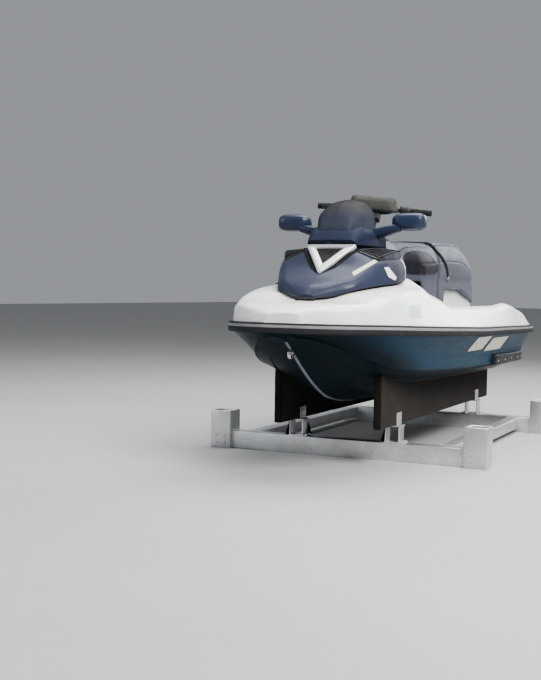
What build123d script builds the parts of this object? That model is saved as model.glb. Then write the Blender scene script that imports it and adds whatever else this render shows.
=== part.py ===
from build123d import *
import math
import os

os.makedirs("parts", exist_ok=True)

# Three-seat personal watercraft standing on its boat-lift cradle.
# Millimetres. +X port, -Y bow, +Y stern, +Z up. Floor at Z = 0.
# Tables below use the craft's own numbers: x from the centreline, s aft of the
# bow tip, z above the keel.

# ------------------------------------------------------------------ sizes
LENGTH = 3310.0            # over all
ZH = 300.0                 # keel above the floor, on the cradle
HULL_END = 3230.0          # transom
DECK_END = 3298.0          # platform, before the stern rail
DECK_START = 12.0
RAIL_OUT = 24.0            # rub rail, past the gunwale
RAIL_UP = 26.0
RAIL_DOWN = 28.0
HOOD_WALL = 10.0
COWL_WALL = 8.0
SCREEN_WALL = 5.0
GAP = 6.0                  # round lids and moving pieces

BAY_X = 165.0              # engine bay under the seats
BAY_S = (1440.0, 2250.0)
BAY_Z = 120.0
ENGINE_X = 145.0
ENGINE_S = (1520.0, 2080.0)
ENGINE_H = 400.0

BIN_X = 200.0              # front storage bin under the hood
BIN_S = (560.0, 868.0)
BIN_Z = (380.0, 738.0)
BIN_WALL = 5.0

STEER_S, STEER_Z = 1295.0, 1120.0      # centre of the handlebar
STEER_TILT = 27.0                      # column leans aft, from upright
STEER_REST = 9.0                       # bars turned to port as they stand
NOZZLE_REST = -0.9 * STEER_REST        # the nozzle follows them
COLUMN_R, COLUMN_BORE, SHAFT_R = 28.0, 16.0, 15.7
BAR_R = 11.0
GRIP_R = 18.5
POD_R = 29.0
BAR_END = 336.0
GRIP_IN = 222.0

PUMP_Z = 155.0             # jet pump axis
PUMP_S = (2790.0, 3050.0)
PUMP_R, PUMP_BORE = 90.0, 78.0
IMPELLER_R = 73.0
SHAFT_DRIVE_R = 12.0
OUTLET_S, OUTLET_R, OUTLET_BORE = 3120.0, 44.0, 38.0
NOZZLE_PIVOT_S = 3132.0
NOZZLE_S = (3112.0, 3236.0)
NOZZLE_R = (68.0, 50.0)
NOZZLE_BORE = (62.0, 43.0)
GATE_S, GATE_DZ = 3150.0, 20.0
GATE_R = (122.0, 132.0)
GATE_X = 112.0
TUNNEL_X, TUNNEL_Z = 130.0, 285.0

STEP_S, STEP_Z = 3252.0, 172.0
STEP_X = (205.0, 405.0)
STEP_LEN = 185.0

EYE_BORE = 12.0
BUNK_X, BUNK_T = 290.0, 45.0
BUNK_S = (605.0, 2925.0)
BUNK_Z0 = 200.0            # bunk bottom above the floor
BEAM_S = (905.0, 2605.0)
BEAM_H, BEAM_W, BEAM_X = 100.0, 90.0, 700.0
SLEEVE_OUT, SLEEVE_IN, SLEEVE_H = 130.0, 104.0, 220.0

HALF = LENGTH / 2

# ------------------------------------------------------------------ tables
# s, half-beam, gunwale z, keel z, chine x, chine z, topside crease x, crease z
HULL = [
    (12, 118, 450, 398, 60, 406, 100, 414),
    (60, 222, 449, 372, 128, 396, 190, 411),
    (140, 326, 448, 318, 200, 367, 282, 403),
    (260, 408, 446, 236, 268, 322, 352, 382),
    (420, 468, 442, 142, 332, 275, 406, 356),
    (620, 514, 436, 60, 386, 232, 446, 331),
    (900, 550, 428, 18, 430, 200, 478, 311),
    (1320, 576, 417, 2, 462, 181, 500, 294),
    (1700, 584, 407, 0, 476, 170, 507, 284),
    (2300, 581, 399, 0, 482, 162, 508, 274),
    (2940, 559, 388, 0, 477, 156, 496, 263),
    (3230, 540, 385, 0, 468, 154, 484, 258),
    (3298, 532, 383, 0, 464, 154, 480, 257),
]
# s, side/shoulder x z, footwell lip x z, floor out x z, floor in x z,
# pedestal edge x z, centre z
DECK = [
    (12, 96, 521, 74, 526, 55, 528, 40, 529, 20, 529, 530),
    (60, 200, 540, 162, 549, 120, 553, 80, 555, 40, 556, 556),
    (140, 300, 556, 254, 569, 200, 573, 130, 575, 60, 575, 575),
    (260, 392, 556, 342, 581, 255, 585, 160, 585, 80, 583, 582),
    (345, 414, 580, 356, 602, 260, 604, 170, 597, 80, 593, 591),
    (420, 428, 600, 368, 620, 262, 628, 180, 629, 80, 616, 612),
    (620, 441, 640, 372, 655, 300, 660, 200, 660, 80, 660, 660),
    (765, 446, 650, 358, 675, 305, 678, 205, 678, 120, 678, 678),
    (882, 450, 652, 350, 695, 312, 695, 212, 695, 150, 695, 695),
    (900, 451, 650, 348, 712, 318, 712, 215, 706, 150, 706, 706),
    (1010, 458, 624, 358, 664, 335, 610, 235, 600, 205, 700, 705),
    (1160, 472, 590, 390, 628, 365, 470, 235, 450, 200, 690, 695),
    (1320, 500, 548, 432, 570, 418, 385, 235, 380, 198, 684, 690),
    (1700, 512, 545, 455, 563, 438, 370, 235, 370, 197, 680, 684),
    (2300, 508, 545, 452, 560, 430, 370, 235, 370, 197, 680, 684),
    (2660, 505, 558, 450, 576, 425, 375, 235, 375, 195, 680, 684),
    (2756, 502, 553, 449, 570, 421, 386, 234, 386, 194, 680, 684),
    (2784, 501, 551, 448, 568, 420, 390, 233, 392, 190, 500, 508),
    (2960, 495, 530, 445, 545, 412, 418, 230, 422, 190, 430, 432),
    (3230, 488, 488, 460, 492, 415, 428, 230, 430, 100, 432, 432),
    (3298, 484, 465, 465, 468, 420, 428, 200, 430, 100, 430, 430),
]
# s, edge x z, side x z, lobe x z, top x z, centre z
HOOD = [
    (292, 30, 596, 32, 606, 25, 615, 12, 619, 620),
    (345, 108, 605, 112, 626, 100, 648, 50, 662, 665),
    (420, 215, 640, 215, 664, 185, 694, 80, 700, 702),
    (515, 262, 658, 258, 700, 230, 745, 70, 765, 768),
    (620, 306, 672, 304, 735, 280, 795, 140, 855, 860),
    (765, 352, 688, 352, 752, 332, 812, 185, 872, 880),
    (880, 340, 703, 345, 765, 322, 818, 195, 874, 880),
]
# s, base x z, side x z, top x z, centre z
COWL = [
    (604, 128, 884, 130, 892, 120, 899, 902),
    (665, 150, 884, 150, 930, 120, 962, 972),
    (730, 165, 884, 162, 955, 135, 990, 1000),
    (1000, 185, 884, 182, 950, 155, 985, 996),
]
# s, base x z, side x z, top x z, centre z
SCREEN = [
    (664, 90, 930, 86, 968, 50, 979, 983),
    (690, 104, 930, 95, 1018, 56, 1040, 1047),
    (770, 144, 930, 134, 1060, 75, 1104, 1114),
    (880, 166, 930, 154, 1080, 90, 1137, 1149),
]
# s, base x z, side x z, top x z, centre z
CONSOLE = [
    (890, 270, 700, 266, 800, 150, 866, 872),
    (1004, 226, 692, 232, 800, 150, 872, 876),
    (1012, 222, 690, 228, 800, 160, 925, 935),
    (1160, 198, 684, 212, 800, 160, 930, 940),
    (1300, 184, 680, 200, 795, 142, 905, 915),
    (1395, 150, 680, 168, 780, 112, 850, 858),
]
# s, base x, side x z, top edge x z, centre z
SEAT_Z0 = 706.0
DRIVER = [
    (1402, 150, 160, 800, 118, 882, 892),
    (1480, 182, 194, 820, 152, 914, 926),
    (1556, 222, 226, 828, 164, 921, 933),
    (1640, 230, 236, 834, 176, 927, 939),
    (1800, 234, 240, 842, 186, 934, 946),
    (1864, 234, 241, 848, 188, 940, 952),
]
PASSENGER = [
    (1874, 234, 241, 850, 188, 944, 956),
    (2010, 234, 240, 856, 190, 954, 966),
    (2182, 232, 240, 860, 192, 961, 972),
    (2426, 230, 236, 856, 192, 963, 974),
    (2504, 228, 232, 848, 190, 948, 960),
    (2666, 222, 224, 815, 188, 899, 910),
    (2776, 216, 215, 778, 188, 838, 848),
    (2814, 206, 206, 745, 182, 806, 814),
]
# seat side flaps: s, bottom z, inner x at the bottom, outer x at the bottom
DRIVER_FLAP = [
    (1560, 574, 219, 232),
    (1640, 562, 220, 238),
    (1864, 562, 220, 240),
]
PASSENGER_FLAP = [
    (1874, 562, 220, 240),
    (2004, 562, 220, 240),
    (2030, 656, 216, 239),
    (2330, 656, 216, 237),
    (2594, 608, 215, 232),
    (2788, 563, 214, 225),
    (2814, 556, 200, 212),
]
FLAP_TOP_IN = 212.0        # inner x of a flap at the cushion's underside
PAN_X = 190.0              # half-width of a seat's base plate
BACK_S = (2796.0, 2814.0)  # rear panel of the seat, behind the pedestal
BACK_Z = 556.0
# hand strap over the passenger cushion: front edge, then rear edge, s z
STRAP = [(1876, 1020), (1876, 882), (1998, 806), (2044, 770), (2078, 712),
         (2116, 712), (2074, 790), (2018, 834), (1910, 900), (1910, 1020)]
STRAP_T = 5.0
# grab handle behind the seat, x s z
GRAB = [(-125, 2890, 430), (-125, 2866, 640), (125, 2866, 640), (125, 2890, 430)]
GRAB_R = 14.0


# ------------------------------------------------------------------ helpers
def at(x, s, z):
    return Vector(x, s - HALF, z + ZH)


def lerp(a, b, t):
    return a + (b - a) * t


def row_at(table, s):
    if s <= table[0][0]:
        return (s,) + tuple(table[0][1:])
    for a, b in zip(table, table[1:]):
        if s <= b[0]:
            t = (s - a[0]) / (b[0] - a[0])
            return (s,) + tuple(lerp(p, q, t) for p, q in zip(a[1:], b[1:]))
    return (s,) + tuple(table[-1][1:])


def ring(points, s):
    return Wire.make_polygon([at(x, s, z) for x, z in points], close=True)


def both(right):
    """A closed section from its right half, listed from one end to the other."""
    left = [(-x, z) for x, z in reversed(right) if x > 0.001]
    return list(right) + left


def loft_of(sections):
    """Ruled loft through (s, points) sections."""
    return Solid.make_loft([ring(pts, s) for s, pts in sections], ruled=True)


def box(x0, x1, s0, s1, z0, z1):
    b = Box(x1 - x0, s1 - s0, z1 - z0)
    return b.moved(Location(((x0 + x1) / 2, (s0 + s1) / 2 - HALF, (z0 + z1) / 2 + ZH)))


def rod(p, q, r):
    """Cylinder from p to q, both (x, s, z)."""
    a, b = at(*p), at(*q)
    pl = Plane(origin=a, z_dir=(b - a))
    return Solid.make_cylinder(r, (b - a).length, pl)


def cone(p, q, r0, r1):
    a, b = at(*p), at(*q)
    return Solid.make_cone(r0, r1, (b - a).length, Plane(origin=a, z_dir=(b - a)))


def prism(points, vec):
    """Flat polygon (x, s, z) pushed along vec."""
    w = Wire.make_polygon([at(*p) for p in points], close=True)
    return Solid.extrude(Face(w), Vector(*vec))


def twin(shape):
    return Compound([shape, shape.mirror(Plane.YZ)])


def solids_of(shape):
    return Compound(shape.solids()) if len(shape.solids()) > 1 else shape.solids()[0]


def cut(a, *tools):
    out = a
    for t in tools:
        out = out - t
    return solids_of(out)


def save(name, shape):
    shape = solids_of(shape)
    export_step(shape, "parts/%s.step" % name)


# ------------------------------------------------------------------ hull and deck
stations = sorted(set([r[0] for r in HULL] + [r[0] for r in DECK]))


def seam(s, hw, zb):
    """Hidden joint between hull and deck, inboard of the gunwale."""
    if s <= 1010:
        return (hw * 0.85, zb - 1.0), (hw * 0.5, zb - 2.0)
    if s <= 2900:
        return (hw - 55, zb - 30), (hw - 110, 345.0)
    return (hw - 55, zb - 10), (hw - 110, 384.0)


def hull_section(s):
    _, hw, zb, kz, cx, cz, tx, tz = row_at(HULL, s)
    a, b = seam(s, hw, zb)
    return both([(0, kz), (cx, cz), (tx, tz), (hw - 6, zb - RAIL_DOWN), (hw, zb), a, b])


def deck_side(s):
    _, hw, zb, *_ = row_at(HULL, s)
    _, x2, z2, x3, z3, x4, z4, x5, z5, x6, z6, z7 = row_at(DECK, s)
    return [(hw, zb), (hw - 8, zb + RAIL_UP), (x2, z2), (x3, z3), (x4, z4),
            (x5, z5), (x6, z6), (0, z7)]


def deck_section(s):
    _, hw, zb, *_ = row_at(HULL, s)
    a, b = seam(s, hw, zb)
    r = deck_side(s)
    left = [(-x, z) for x, z in reversed(r[:-1])]
    return r + left + [(-a[0], a[1]), (-b[0], b[1]), b, a]


hull = loft_of([(s, hull_section(s)) for s in stations if s <= HULL_END])
deck = loft_of([(s, deck_section(s)) for s in stations])

bay = box(-BAY_X, BAY_X, BAY_S[0], BAY_S[1], BAY_Z, 760)
bin_hole = box(-BIN_X, BIN_X, BIN_S[0], BIN_S[1], BIN_Z[0], 760)
tunnel = loft_of([
    (2400, [(-100, -40), (100, -40), (100, 8), (-100, 8)]),
    (2700, [(-TUNNEL_X, -40), (TUNNEL_X, -40), (TUNNEL_X, TUNNEL_Z - 20), (-TUNNEL_X, TUNNEL_Z - 20)]),
    (2790, [(-TUNNEL_X, -40), (TUNNEL_X, -40), (TUNNEL_X, TUNNEL_Z), (-TUNNEL_X, TUNNEL_Z)]),
    (3060, [(-TUNNEL_X, -40), (TUNNEL_X, -40), (TUNNEL_X, TUNNEL_Z), (-TUNNEL_X, TUNNEL_Z)]),
])
gate_room = box(-150, 150, 3040, 3260, -40, 316)
shaft_bore = rod((0, BAY_S[1] - 20, PUMP_Z), (0, 2720, PUMP_Z), 19)

hull = cut(hull, bay, bin_hole, tunnel, gate_room, shaft_bore)
deck = cut(deck, bay, bin_hole)

# rub rail: one band each side, closed across bow and stern
rail_rows = [s for s in stations]


def rail_section(s, sign):
    _, hw, zb, *_ = row_at(HULL, s)
    p = [(hw, zb), (hw - 6, zb - RAIL_DOWN), (hw + RAIL_OUT - 4, zb - RAIL_DOWN),
         (hw + RAIL_OUT, zb - 8), (hw + RAIL_OUT, zb + 8), (hw + RAIL_OUT - 6, zb + RAIL_UP),
         (hw - 8, zb + RAIL_UP)]
    return [(sign * x, z) for x, z in p]


rails = [loft_of([(s, rail_section(s, k)) for s in rail_rows]) for k in (1, -1)]
hw0, zb0 = HULL[0][1], HULL[0][2]
hw1, zb1 = HULL[-1][1], HULL[-1][2]
bow_bar = loft_of([
    (0, [(-hw0 + 18, zb0 - 12), (hw0 - 18, zb0 - 12), (hw0 - 18, zb0 + 12), (-hw0 + 18, zb0 + 12)]),
    (DECK_START, [(-hw0 - 20, zb0 - RAIL_DOWN), (hw0 + 20, zb0 - RAIL_DOWN),
                  (hw0 + 18, zb0 + RAIL_UP), (-hw0 - 18, zb0 + RAIL_UP)]),
])
stern_bar = loft_of([
    (DECK_END, [(-hw1 - 20, zb1 - RAIL_DOWN + 12), (hw1 + 20, zb1 - RAIL_DOWN + 12),
                (hw1 + 18, zb1 + RAIL_UP), (-hw1 - 18, zb1 + RAIL_UP)]),
    (LENGTH, [(-hw1 + 4, zb1 - 12), (hw1 - 4, zb1 - 12), (hw1 - 4, zb1 + 16), (-hw1 + 4, zb1 + 16)]),
])
rub_rail = rails[0] + rails[1] + bow_bar + stern_bar

# ------------------------------------------------------------------ hood group
def hood_ring(r, inset=0.0, drop=0.0):
    s, xb, zb, xm, zm, xh, zh, xt, zt, zc = r
    i = inset
    return both([(0, zb - drop), (max(xb - i, 4), zb - drop), (max(xm - i, 4), zm - i * 0.3),
                 (max(xh - i * 0.8, 3), zh - i * 0.8), (max(xt - i * 0.3, 2), zt - i), (0, zc - i)])


hood_outer = loft_of([(r[0], hood_ring(r)) for r in HOOD])
hood_rows_in = [r for r in HOOD[1:]]
hood_inner = loft_of(
    [(hood_rows_in[0][0] - 8, hood_ring(hood_rows_in[0], HOOD_WALL + 4, 30))]
    + [(r[0], hood_ring(r, HOOD_WALL, 30)) for r in hood_rows_in[1:-1]]
    + [(hood_rows_in[-1][0] + 4, hood_ring(hood_rows_in[-1], HOOD_WALL, 30))])

# grille opening: a triangle on the sloping nose, point down
V_LOW = (0.0, 452.0, 722.0)
V_TOP_X, V_TOP_S, V_TOP_Z = 150.0, 640.0, 884.0
V_BAR = 26.0
slope = Vector(0, V_TOP_S - V_LOW[1], V_TOP_Z - V_LOW[2]).normalized()
v_normal = Vector(0, -slope.Z, slope.Y)


def v_point(x, t, lift=0.0):
    """t along the slope from the low point, lift along the outward normal."""
    return (x, V_LOW[1] + slope.Y * t + v_normal.Y * lift, V_LOW[2] + slope.Z * t + v_normal.Z * lift)


v_len = math.hypot(V_TOP_S - V_LOW[1], V_TOP_Z - V_LOW[2])


def v_prism(grow, lift0, lift1):
    k = V_TOP_X / v_len
    low = -grow * math.hypot(1, k) / k
    top = v_len + grow
    xt = (top - low) * k
    pts = [v_point(0, low, lift0), v_point(xt, top, lift0), v_point(-xt, top, lift0)]
    n = v_normal * (lift1 - lift0)
    return prism(pts, (n.X, n.Y, n.Z))


HINGE = (282.0, 596.0)     # hood hinge axis, s z
HINGE_R = 5.0
front_hood = cut(hood_outer, hood_inner, v_prism(0, -60, 40))
front_hood = front_hood + rod((-56, HINGE[0], HINGE[1]), (56, HINGE[0], HINGE[1]), HINGE_R) + \
    box(-26, 26, HINGE[0] - 2, 298, HINGE[1] + 1, HINGE[1] + 6)
hood_hinge = None
for x in (-52.0, 40.0):
    lug = box(x, x + 12, HINGE[0] - 9, HINGE[0] + 9, HINGE[1] - 18, HINGE[1] + 9)
    hood_hinge = lug if hood_hinge is None else hood_hinge + lug
hood_hinge = cut(hood_hinge, deck, rod((-70, HINGE[0], HINGE[1]), (70, HINGE[0], HINGE[1]), HINGE_R + 0.3))
grille_bezel = cut(v_prism(0, -12, 12), v_prism(-V_BAR, -40, 40))
grille_mesh = solids_of(v_prism(-V_BAR, -10, -2))


def shell_ring(r, inset=0.0, drop=0.0):
    s, xb, zb, xm, zm, xt, zt, zc = r
    i = inset
    return both([(0, zb - drop), (xb - i, zb - drop), (xm - i, zm - i * 0.3), (xt - i * 0.7, zt - i), (0, zc - i)])


cowl_outer = loft_of([(r[0], shell_ring(r)) for r in COWL])
cowl_inner = loft_of([(COWL[1][0] - 40, shell_ring(row_at(COWL, COWL[1][0] - 40), COWL_WALL, 30))]
                     + [(r[0], shell_ring(r, COWL_WALL, 30)) for r in COWL[1:-1]]
                     + [(COWL[-1][0] + 5, shell_ring(COWL[-1], COWL_WALL, 30))])
screen_outer = loft_of([(r[0], shell_ring(r)) for r in SCREEN])
screen_inner = loft_of([(SCREEN[0][0] + SCREEN_WALL, shell_ring(SCREEN[0], SCREEN_WALL, 30))]
                       + [(r[0], shell_ring(r, SCREEN_WALL, 30)) for r in SCREEN[1:-1]]
                       + [(SCREEN[-1][0] + 5, shell_ring(SCREEN[-1], SCREEN_WALL, 30))])
hood_cowl = cut(cowl_outer, cowl_inner, hood_outer, v_prism(0, -60, 40))
windshield = cut(screen_outer, screen_inner, cowl_outer)

# black air vents between each lobe and the cowl
vent_rows = [620, 765, 880]


def vent_section(s):
    r = row_at(HOOD, s)
    xh, zh, xt, zt = r[5], r[6], r[7], r[8]
    a = (lerp(xh, xt, 0.06), lerp(zh, zt, 0.06))
    b = (lerp(xh, xt, 0.86), lerp(zh, zt, 0.86))
    return [a, b, (b[0] + 2, b[1] + 10), (a[0] - 2, a[1] + 46 * min(1.0, (s - 500) / 265))]


vent = cut(loft_of([(s, vent_section(s)) for s in vent_rows]), cowl_outer)
hood_vents = twin(vent)

# mirrors on short arms off the cowl
MIRROR = dict(x0=246.0, x1=438.0, s0=866.0, s1=952.0, z0=976.0, z1=1074.0)


def mirror_wire(x, k):
    m = MIRROR
    zc = (m["z0"] + m["z1"]) / 2
    rear = m["s1"] - 12
    depth = (rear - m["s0"]) * k
    hz = (m["z1"] - m["z0"]) / 2 * k
    pts = [(rear, zc - 0.88 * hz), (rear, zc + 0.88 * hz), (rear - 0.45 * depth, zc + hz),
           (rear - depth, zc + 0.4 * hz), (rear - depth, zc - 0.5 * hz), (rear - 0.5 * depth, zc - hz)]
    return Wire.make_polygon([at(x, a, b) for a, b in pts], close=True)


m = MIRROR
housing = Solid.make_loft([mirror_wire(m["x0"], 0.62), mirror_wire(m["x0"] + 34, 0.92),
                           mirror_wire(m["x1"] - 60, 1.0), mirror_wire(m["x1"] - 14, 0.86),
                           mirror_wire(m["x1"], 0.55)], ruled=True)
arm = Solid.make_loft([
    Wire.make_polygon([at(x, s, z) for s, z in ((900 - w, zc - h), (900 + w, zc - h), (900 + w, zc + h), (900 - w, zc + h))], close=True)
    for x, w, h, zc in ((158.0, 42.0, 15.0, 953.0), (228.0, 30.0, 13.0, 970.0), (300.0, 26.0, 12.0, 988.0))], ruled=True)
left_mirror = cut(housing + arm, cowl_outer, screen_outer)
right_mirror = left_mirror.mirror(Plane.YZ)
glass = prism([(274, m["s1"] - 12, 990), (420, m["s1"] - 12, 988), (428, m["s1"] - 12, 1024),
               (418, m["s1"] - 12, 1060), (276, m["s1"] - 12, 1060)], (0, 5, 0))
mirror_glass = twin(glass)

# ------------------------------------------------------------------ front bin, console, dash
storage_bin = cut(box(-BIN_X, BIN_X, BIN_S[0], BIN_S[1], BIN_Z[0], BIN_Z[1]),
                  box(-BIN_X + BIN_WALL, BIN_X - BIN_WALL, BIN_S[0] + BIN_WALL, BIN_S[1] - BIN_WALL,
                      BIN_Z[0] + BIN_WALL, BIN_Z[1] + 20))

tilt = math.radians(STEER_TILT)
steer_dir = (0.0, math.sin(tilt), math.cos(tilt))


def on_axis(t, x=0.0, side=0.0):
    """Point t mm up the steering axis from the handlebar's centre."""
    return (x, STEER_S + steer_dir[1] * t + steer_dir[2] * side,
            STEER_Z + steer_dir[2] * t - steer_dir[1] * side)


console_body = loft_of([(r[0], shell_ring(r)) for r in CONSOLE])
LID_S = (1298.0, 1384.0)
LID_X = 88.0
LID_AXIS = (1305.0, 905.0)
LID_PIN_R = 4.0
LID_SIDE = [(LID_AXIS[0], 900.5), (LID_AXIS[0], 908.0), (LID_S[1] - 6, 866.5), (LID_S[1] - 15, 856.5)]   # s, z
lid_cut = loft_of([(s, [(-LID_X, row_at(CONSOLE, s)[7] - 118), (LID_X, row_at(CONSOLE, s)[7] - 118),
                        (LID_X, 960), (-LID_X, 960)]) for s in LID_S])
lid_bore = rod((-LID_X - 6, LID_AXIS[0], LID_AXIS[1]), (LID_X + 6, LID_AXIS[0], LID_AXIS[1]), LID_PIN_R + 0.3)
column_bore = rod(on_axis(-215), on_axis(0), COLUMN_R)
console = cut(console_body, lid_cut, lid_bore, column_bore, deck)
console = max(console.solids(), key=lambda b: b.volume)
glove_box_lid = prism([(6 - LID_X, s, z) for s, z in LID_SIDE], (2 * LID_X - 12, 0, 0)) + \
    rod((-LID_X - 4, LID_AXIS[0], LID_AXIS[1]), (LID_X + 4, LID_AXIS[0], LID_AXIS[1]), LID_PIN_R)

steering_column = cut(rod(on_axis(-215), on_axis(-78), COLUMN_R), rod(on_axis(-205), on_axis(-60), COLUMN_BORE))

# dash: a hooded gauge panel ahead of the column
gauge_panel = prism([(-96, 1030, 938), (-96, 1120, 938), (-96, 1120, 950), (-96, 1052, 996), (-96, 1030, 996)], (192, 0, 0))
gauge_panel = cut(gauge_panel, console_body)

# shift lever on the starboard side of the console
lever_pivot = (-206.0, 1180.0, 842.0)
shift_lever = rod((-190, 1180, 842), (-222, 1180, 842), 16) + rod((-214, 1180, 842), (-232, 1150, 912), 7) + \
    Solid.make_sphere(15).moved(Location(at(-232, 1150, 915)))
shift_lever = cut(shift_lever, console_body)

# ------------------------------------------------------------------ steering
stem = rod(on_axis(-200), on_axis(-10), SHAFT_R)
pl = Plane(origin=at(*on_axis(-30)), x_dir=(1, 0, 0), z_dir=steer_dir)
clamp = Solid.make_box(90, 56, 60, Plane(origin=pl.from_local_coords((-45, -28, -40)), x_dir=(1, 0, 0), z_dir=steer_dir))
bar_path = [(-BAR_END, STEER_S + 18, STEER_Z + 4), (-140, STEER_S + 2, STEER_Z + 10), (-80, STEER_S, STEER_Z - 12),
            (80, STEER_S, STEER_Z - 12), (140, STEER_S + 2, STEER_Z + 10), (BAR_END, STEER_S + 18, STEER_Z + 4)]
bar = None
for a, b in zip(bar_path, bar_path[1:]):
    piece = rod(a, b, BAR_R)
    bar = piece if bar is None else bar + piece
for p in bar_path[1:-1]:
    bar = bar + Solid.make_sphere(BAR_R).moved(Location(at(*p)))
handlebar = bar + stem + clamp


def along(a, b, x):
    t = (x - a[0]) / (b[0] - a[0])
    return tuple(lerp(p, q, t) for p, q in zip(a, b))


g0, g1 = bar_path[-2], bar_path[-1]
grip = cut(rod(along(g0, g1, GRIP_IN), along(g0, g1, BAR_END + 8), GRIP_R), rod(along(g0, g1, 190), along(g0, g1, BAR_END), BAR_R))
hand_grips = twin(grip)
pod = cut(rod(along(g0, g1, 158), along(g0, g1, GRIP_IN - 4), POD_R), rod(along(g0, g1, 140), along(g0, g1, 250), BAR_R))
switch_box = pod
throttle_pod = pod.mirror(Plane.YZ)
lever = box(-306, -186, STEER_S - 42, STEER_S - 30, STEER_Z - 8, STEER_Z + 12)
lever = lever + box(-212, -186, STEER_S - 42, STEER_S - 14, STEER_Z - 8, STEER_Z + 12)
throttle_lever = throttle_pod + cut(lever, rod(along(g0, g1, 150), along(g0, g1, 350), 21).mirror(Plane.YZ))
handlebar_pad = loft_of([
    (STEER_S - 62, [(-118, STEER_Z + 2), (118, STEER_Z + 2), (104, STEER_Z + 52), (-104, STEER_Z + 52)]),
    (STEER_S - 30, [(-150, STEER_Z - 8), (150, STEER_Z - 8), (130, STEER_Z + 84), (-130, STEER_Z + 84)]),
    (STEER_S + 34, [(-148, STEER_Z - 8), (148, STEER_Z - 8), (126, STEER_Z + 78), (-126, STEER_Z + 78)]),
    (STEER_S + 58, [(-118, STEER_Z + 2), (118, STEER_Z + 2), (102, STEER_Z + 46), (-102, STEER_Z + 46)]),
])
handlebar_pad = max(cut(handlebar_pad, handlebar).solids(), key=lambda b: b.volume)

# the whole handlebar stands turned a little to port
steer_axis = Axis(at(*on_axis(0)), steer_dir)
handlebar, handlebar_pad, hand_grips, switch_box, throttle_lever = [
    p.rotate(steer_axis, STEER_REST) for p in (handlebar, handlebar_pad, hand_grips, switch_box, throttle_lever)]

# ------------------------------------------------------------------ seats
def seat_ring(r, z0=SEAT_Z0):
    s, xb, xm, zm, xt, zt, zc = r
    return both([(0, z0), (xb, z0), (xm, zm), (xt, zt), (xt * 0.5, lerp(zt, zc, 0.75)), (0, zc)])


def flap(table, rows, sign):
    """Side flap hanging from a cushion, outside the pedestal's flank."""
    out = []
    for s, zb, xi, xo in table:
        r = row_at(rows, s)
        out.append((s, [(sign * xi, zb), (sign * xo, zb), (sign * r[1], SEAT_Z0), (sign * min(FLAP_TOP_IN, r[1] - 8), SEAT_Z0)]))
    return loft_of(out)


def cushion(rows):
    return loft_of([(r[0], seat_ring(r)) for r in rows])


def pan(rows, s0, s1):
    stops = [s0] + [r[0] for r in rows if s0 < r[0] < s1] + [s1]
    out = []
    for s in stops:
        x = min(PAN_X, row_at(rows, s)[1] - 8)
        out.append((s, [(-x, PAN[0]), (x, PAN[0]), (x, PAN[1]), (-x, PAN[1])]))
    return loft_of(out)


PAN = (696.0, SEAT_Z0)
driver_cushion = cushion(DRIVER)
passenger_cushion = cushion(PASSENGER)
driver_seat = Compound([driver_cushion] + [flap(DRIVER_FLAP, DRIVER, k) for k in (1, -1)])
rear_flaps = [flap(PASSENGER_FLAP, PASSENGER, k) for k in (1, -1)]
back_panel = cut(loft_of([(s, [(-x, BACK_Z), (x, BACK_Z), (x, SEAT_Z0), (-x, SEAT_Z0)]) for s, x in zip(BACK_S, (213, 203))]),
                 rear_flaps[0], rear_flaps[1])
back_panel = max(back_panel.solids(), key=lambda b: b.volume)
passenger_seat = Compound([passenger_cushion] + rear_flaps + [back_panel])
driver_seat_base = pan(DRIVER, 1408, 1858)
passenger_seat_base = pan(PASSENGER, 1880, 2750)


def strap_ring(r):
    g = STRAP_T
    return both([(0, SEAT_Z0), (r[1] + g, SEAT_Z0), (r[2] + g, r[3]), (r[4] + g * 0.7, r[5] + g),
                 (r[4] * 0.5, lerp(r[5], r[6], 0.75) + g), (0, r[6] + g)])


strap_body = loft_of([(r[0], strap_ring(r)) for r in PASSENGER[:3]])
strap_strip = prism([(-280, s, z) for s, z in STRAP], (560, 0, 0))
seat_strap = cut(strap_body & strap_strip, passenger_cushion)

grab = None
for a, b in zip(GRAB, GRAB[1:]):
    piece = rod(a, b, GRAB_R)
    grab = piece if grab is None else grab + piece
for p in GRAB[1:-1]:
    grab = grab + Solid.make_sphere(GRAB_R).moved(Location(at(*p)))
grab_handle = cut(grab, deck)

# ------------------------------------------------------------------ mats, trim
MAT = 6.0


def floor_mat(sign):
    rows = []
    for s in (1320, 1700, 2300, 2660, 2756):
        d = row_at(DECK, s)
        a = (lerp(d[5], d[7], 0.06), lerp(d[6], d[8], 0.06))
        b = (lerp(d[5], d[7], 0.94), lerp(d[6], d[8], 0.94))
        rows.append((s, [(sign * a[0], a[1]), (sign * b[0], b[1]), (sign * b[0], b[1] + MAT), (sign * a[0], a[1] + MAT)]))
    return loft_of(rows)


footwell_mats = Compound([floor_mat(1), floor_mat(-1)])
plat = []
for s in (2960, 3230):
    d = row_at(DECK, s)
    pts = [(lerp(d[5], d[7], 0.3), lerp(d[6], d[8], 0.3)), (d[7], d[8]), (d[9], d[10]), (0, d[11])]
    low = [(-x, z) for x, z in pts[:-1]] + [pts[-1]] + list(reversed(pts[:-1]))
    up = [(x, z + MAT) for x, z in reversed(low)]
    plat.append((s, low + up))
platform_mat = loft_of(plat)


def sponson_section(s):
    _, hw, zb, kz, cx, cz, tx, tz = row_at(HULL, s)
    a = (lerp(cx, tx, 0.1), lerp(cz, tz, 0.1))
    b = (lerp(cx, tx, 0.7), lerp(cz, tz, 0.7))
    return [a, (a[0] + 34, a[1] - 4), (b[0] + 26, b[1] - 12), b]


sponsons = twin(loft_of([(s, sponson_section(s)) for s in (2300, 2940, 3150)]))

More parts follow.
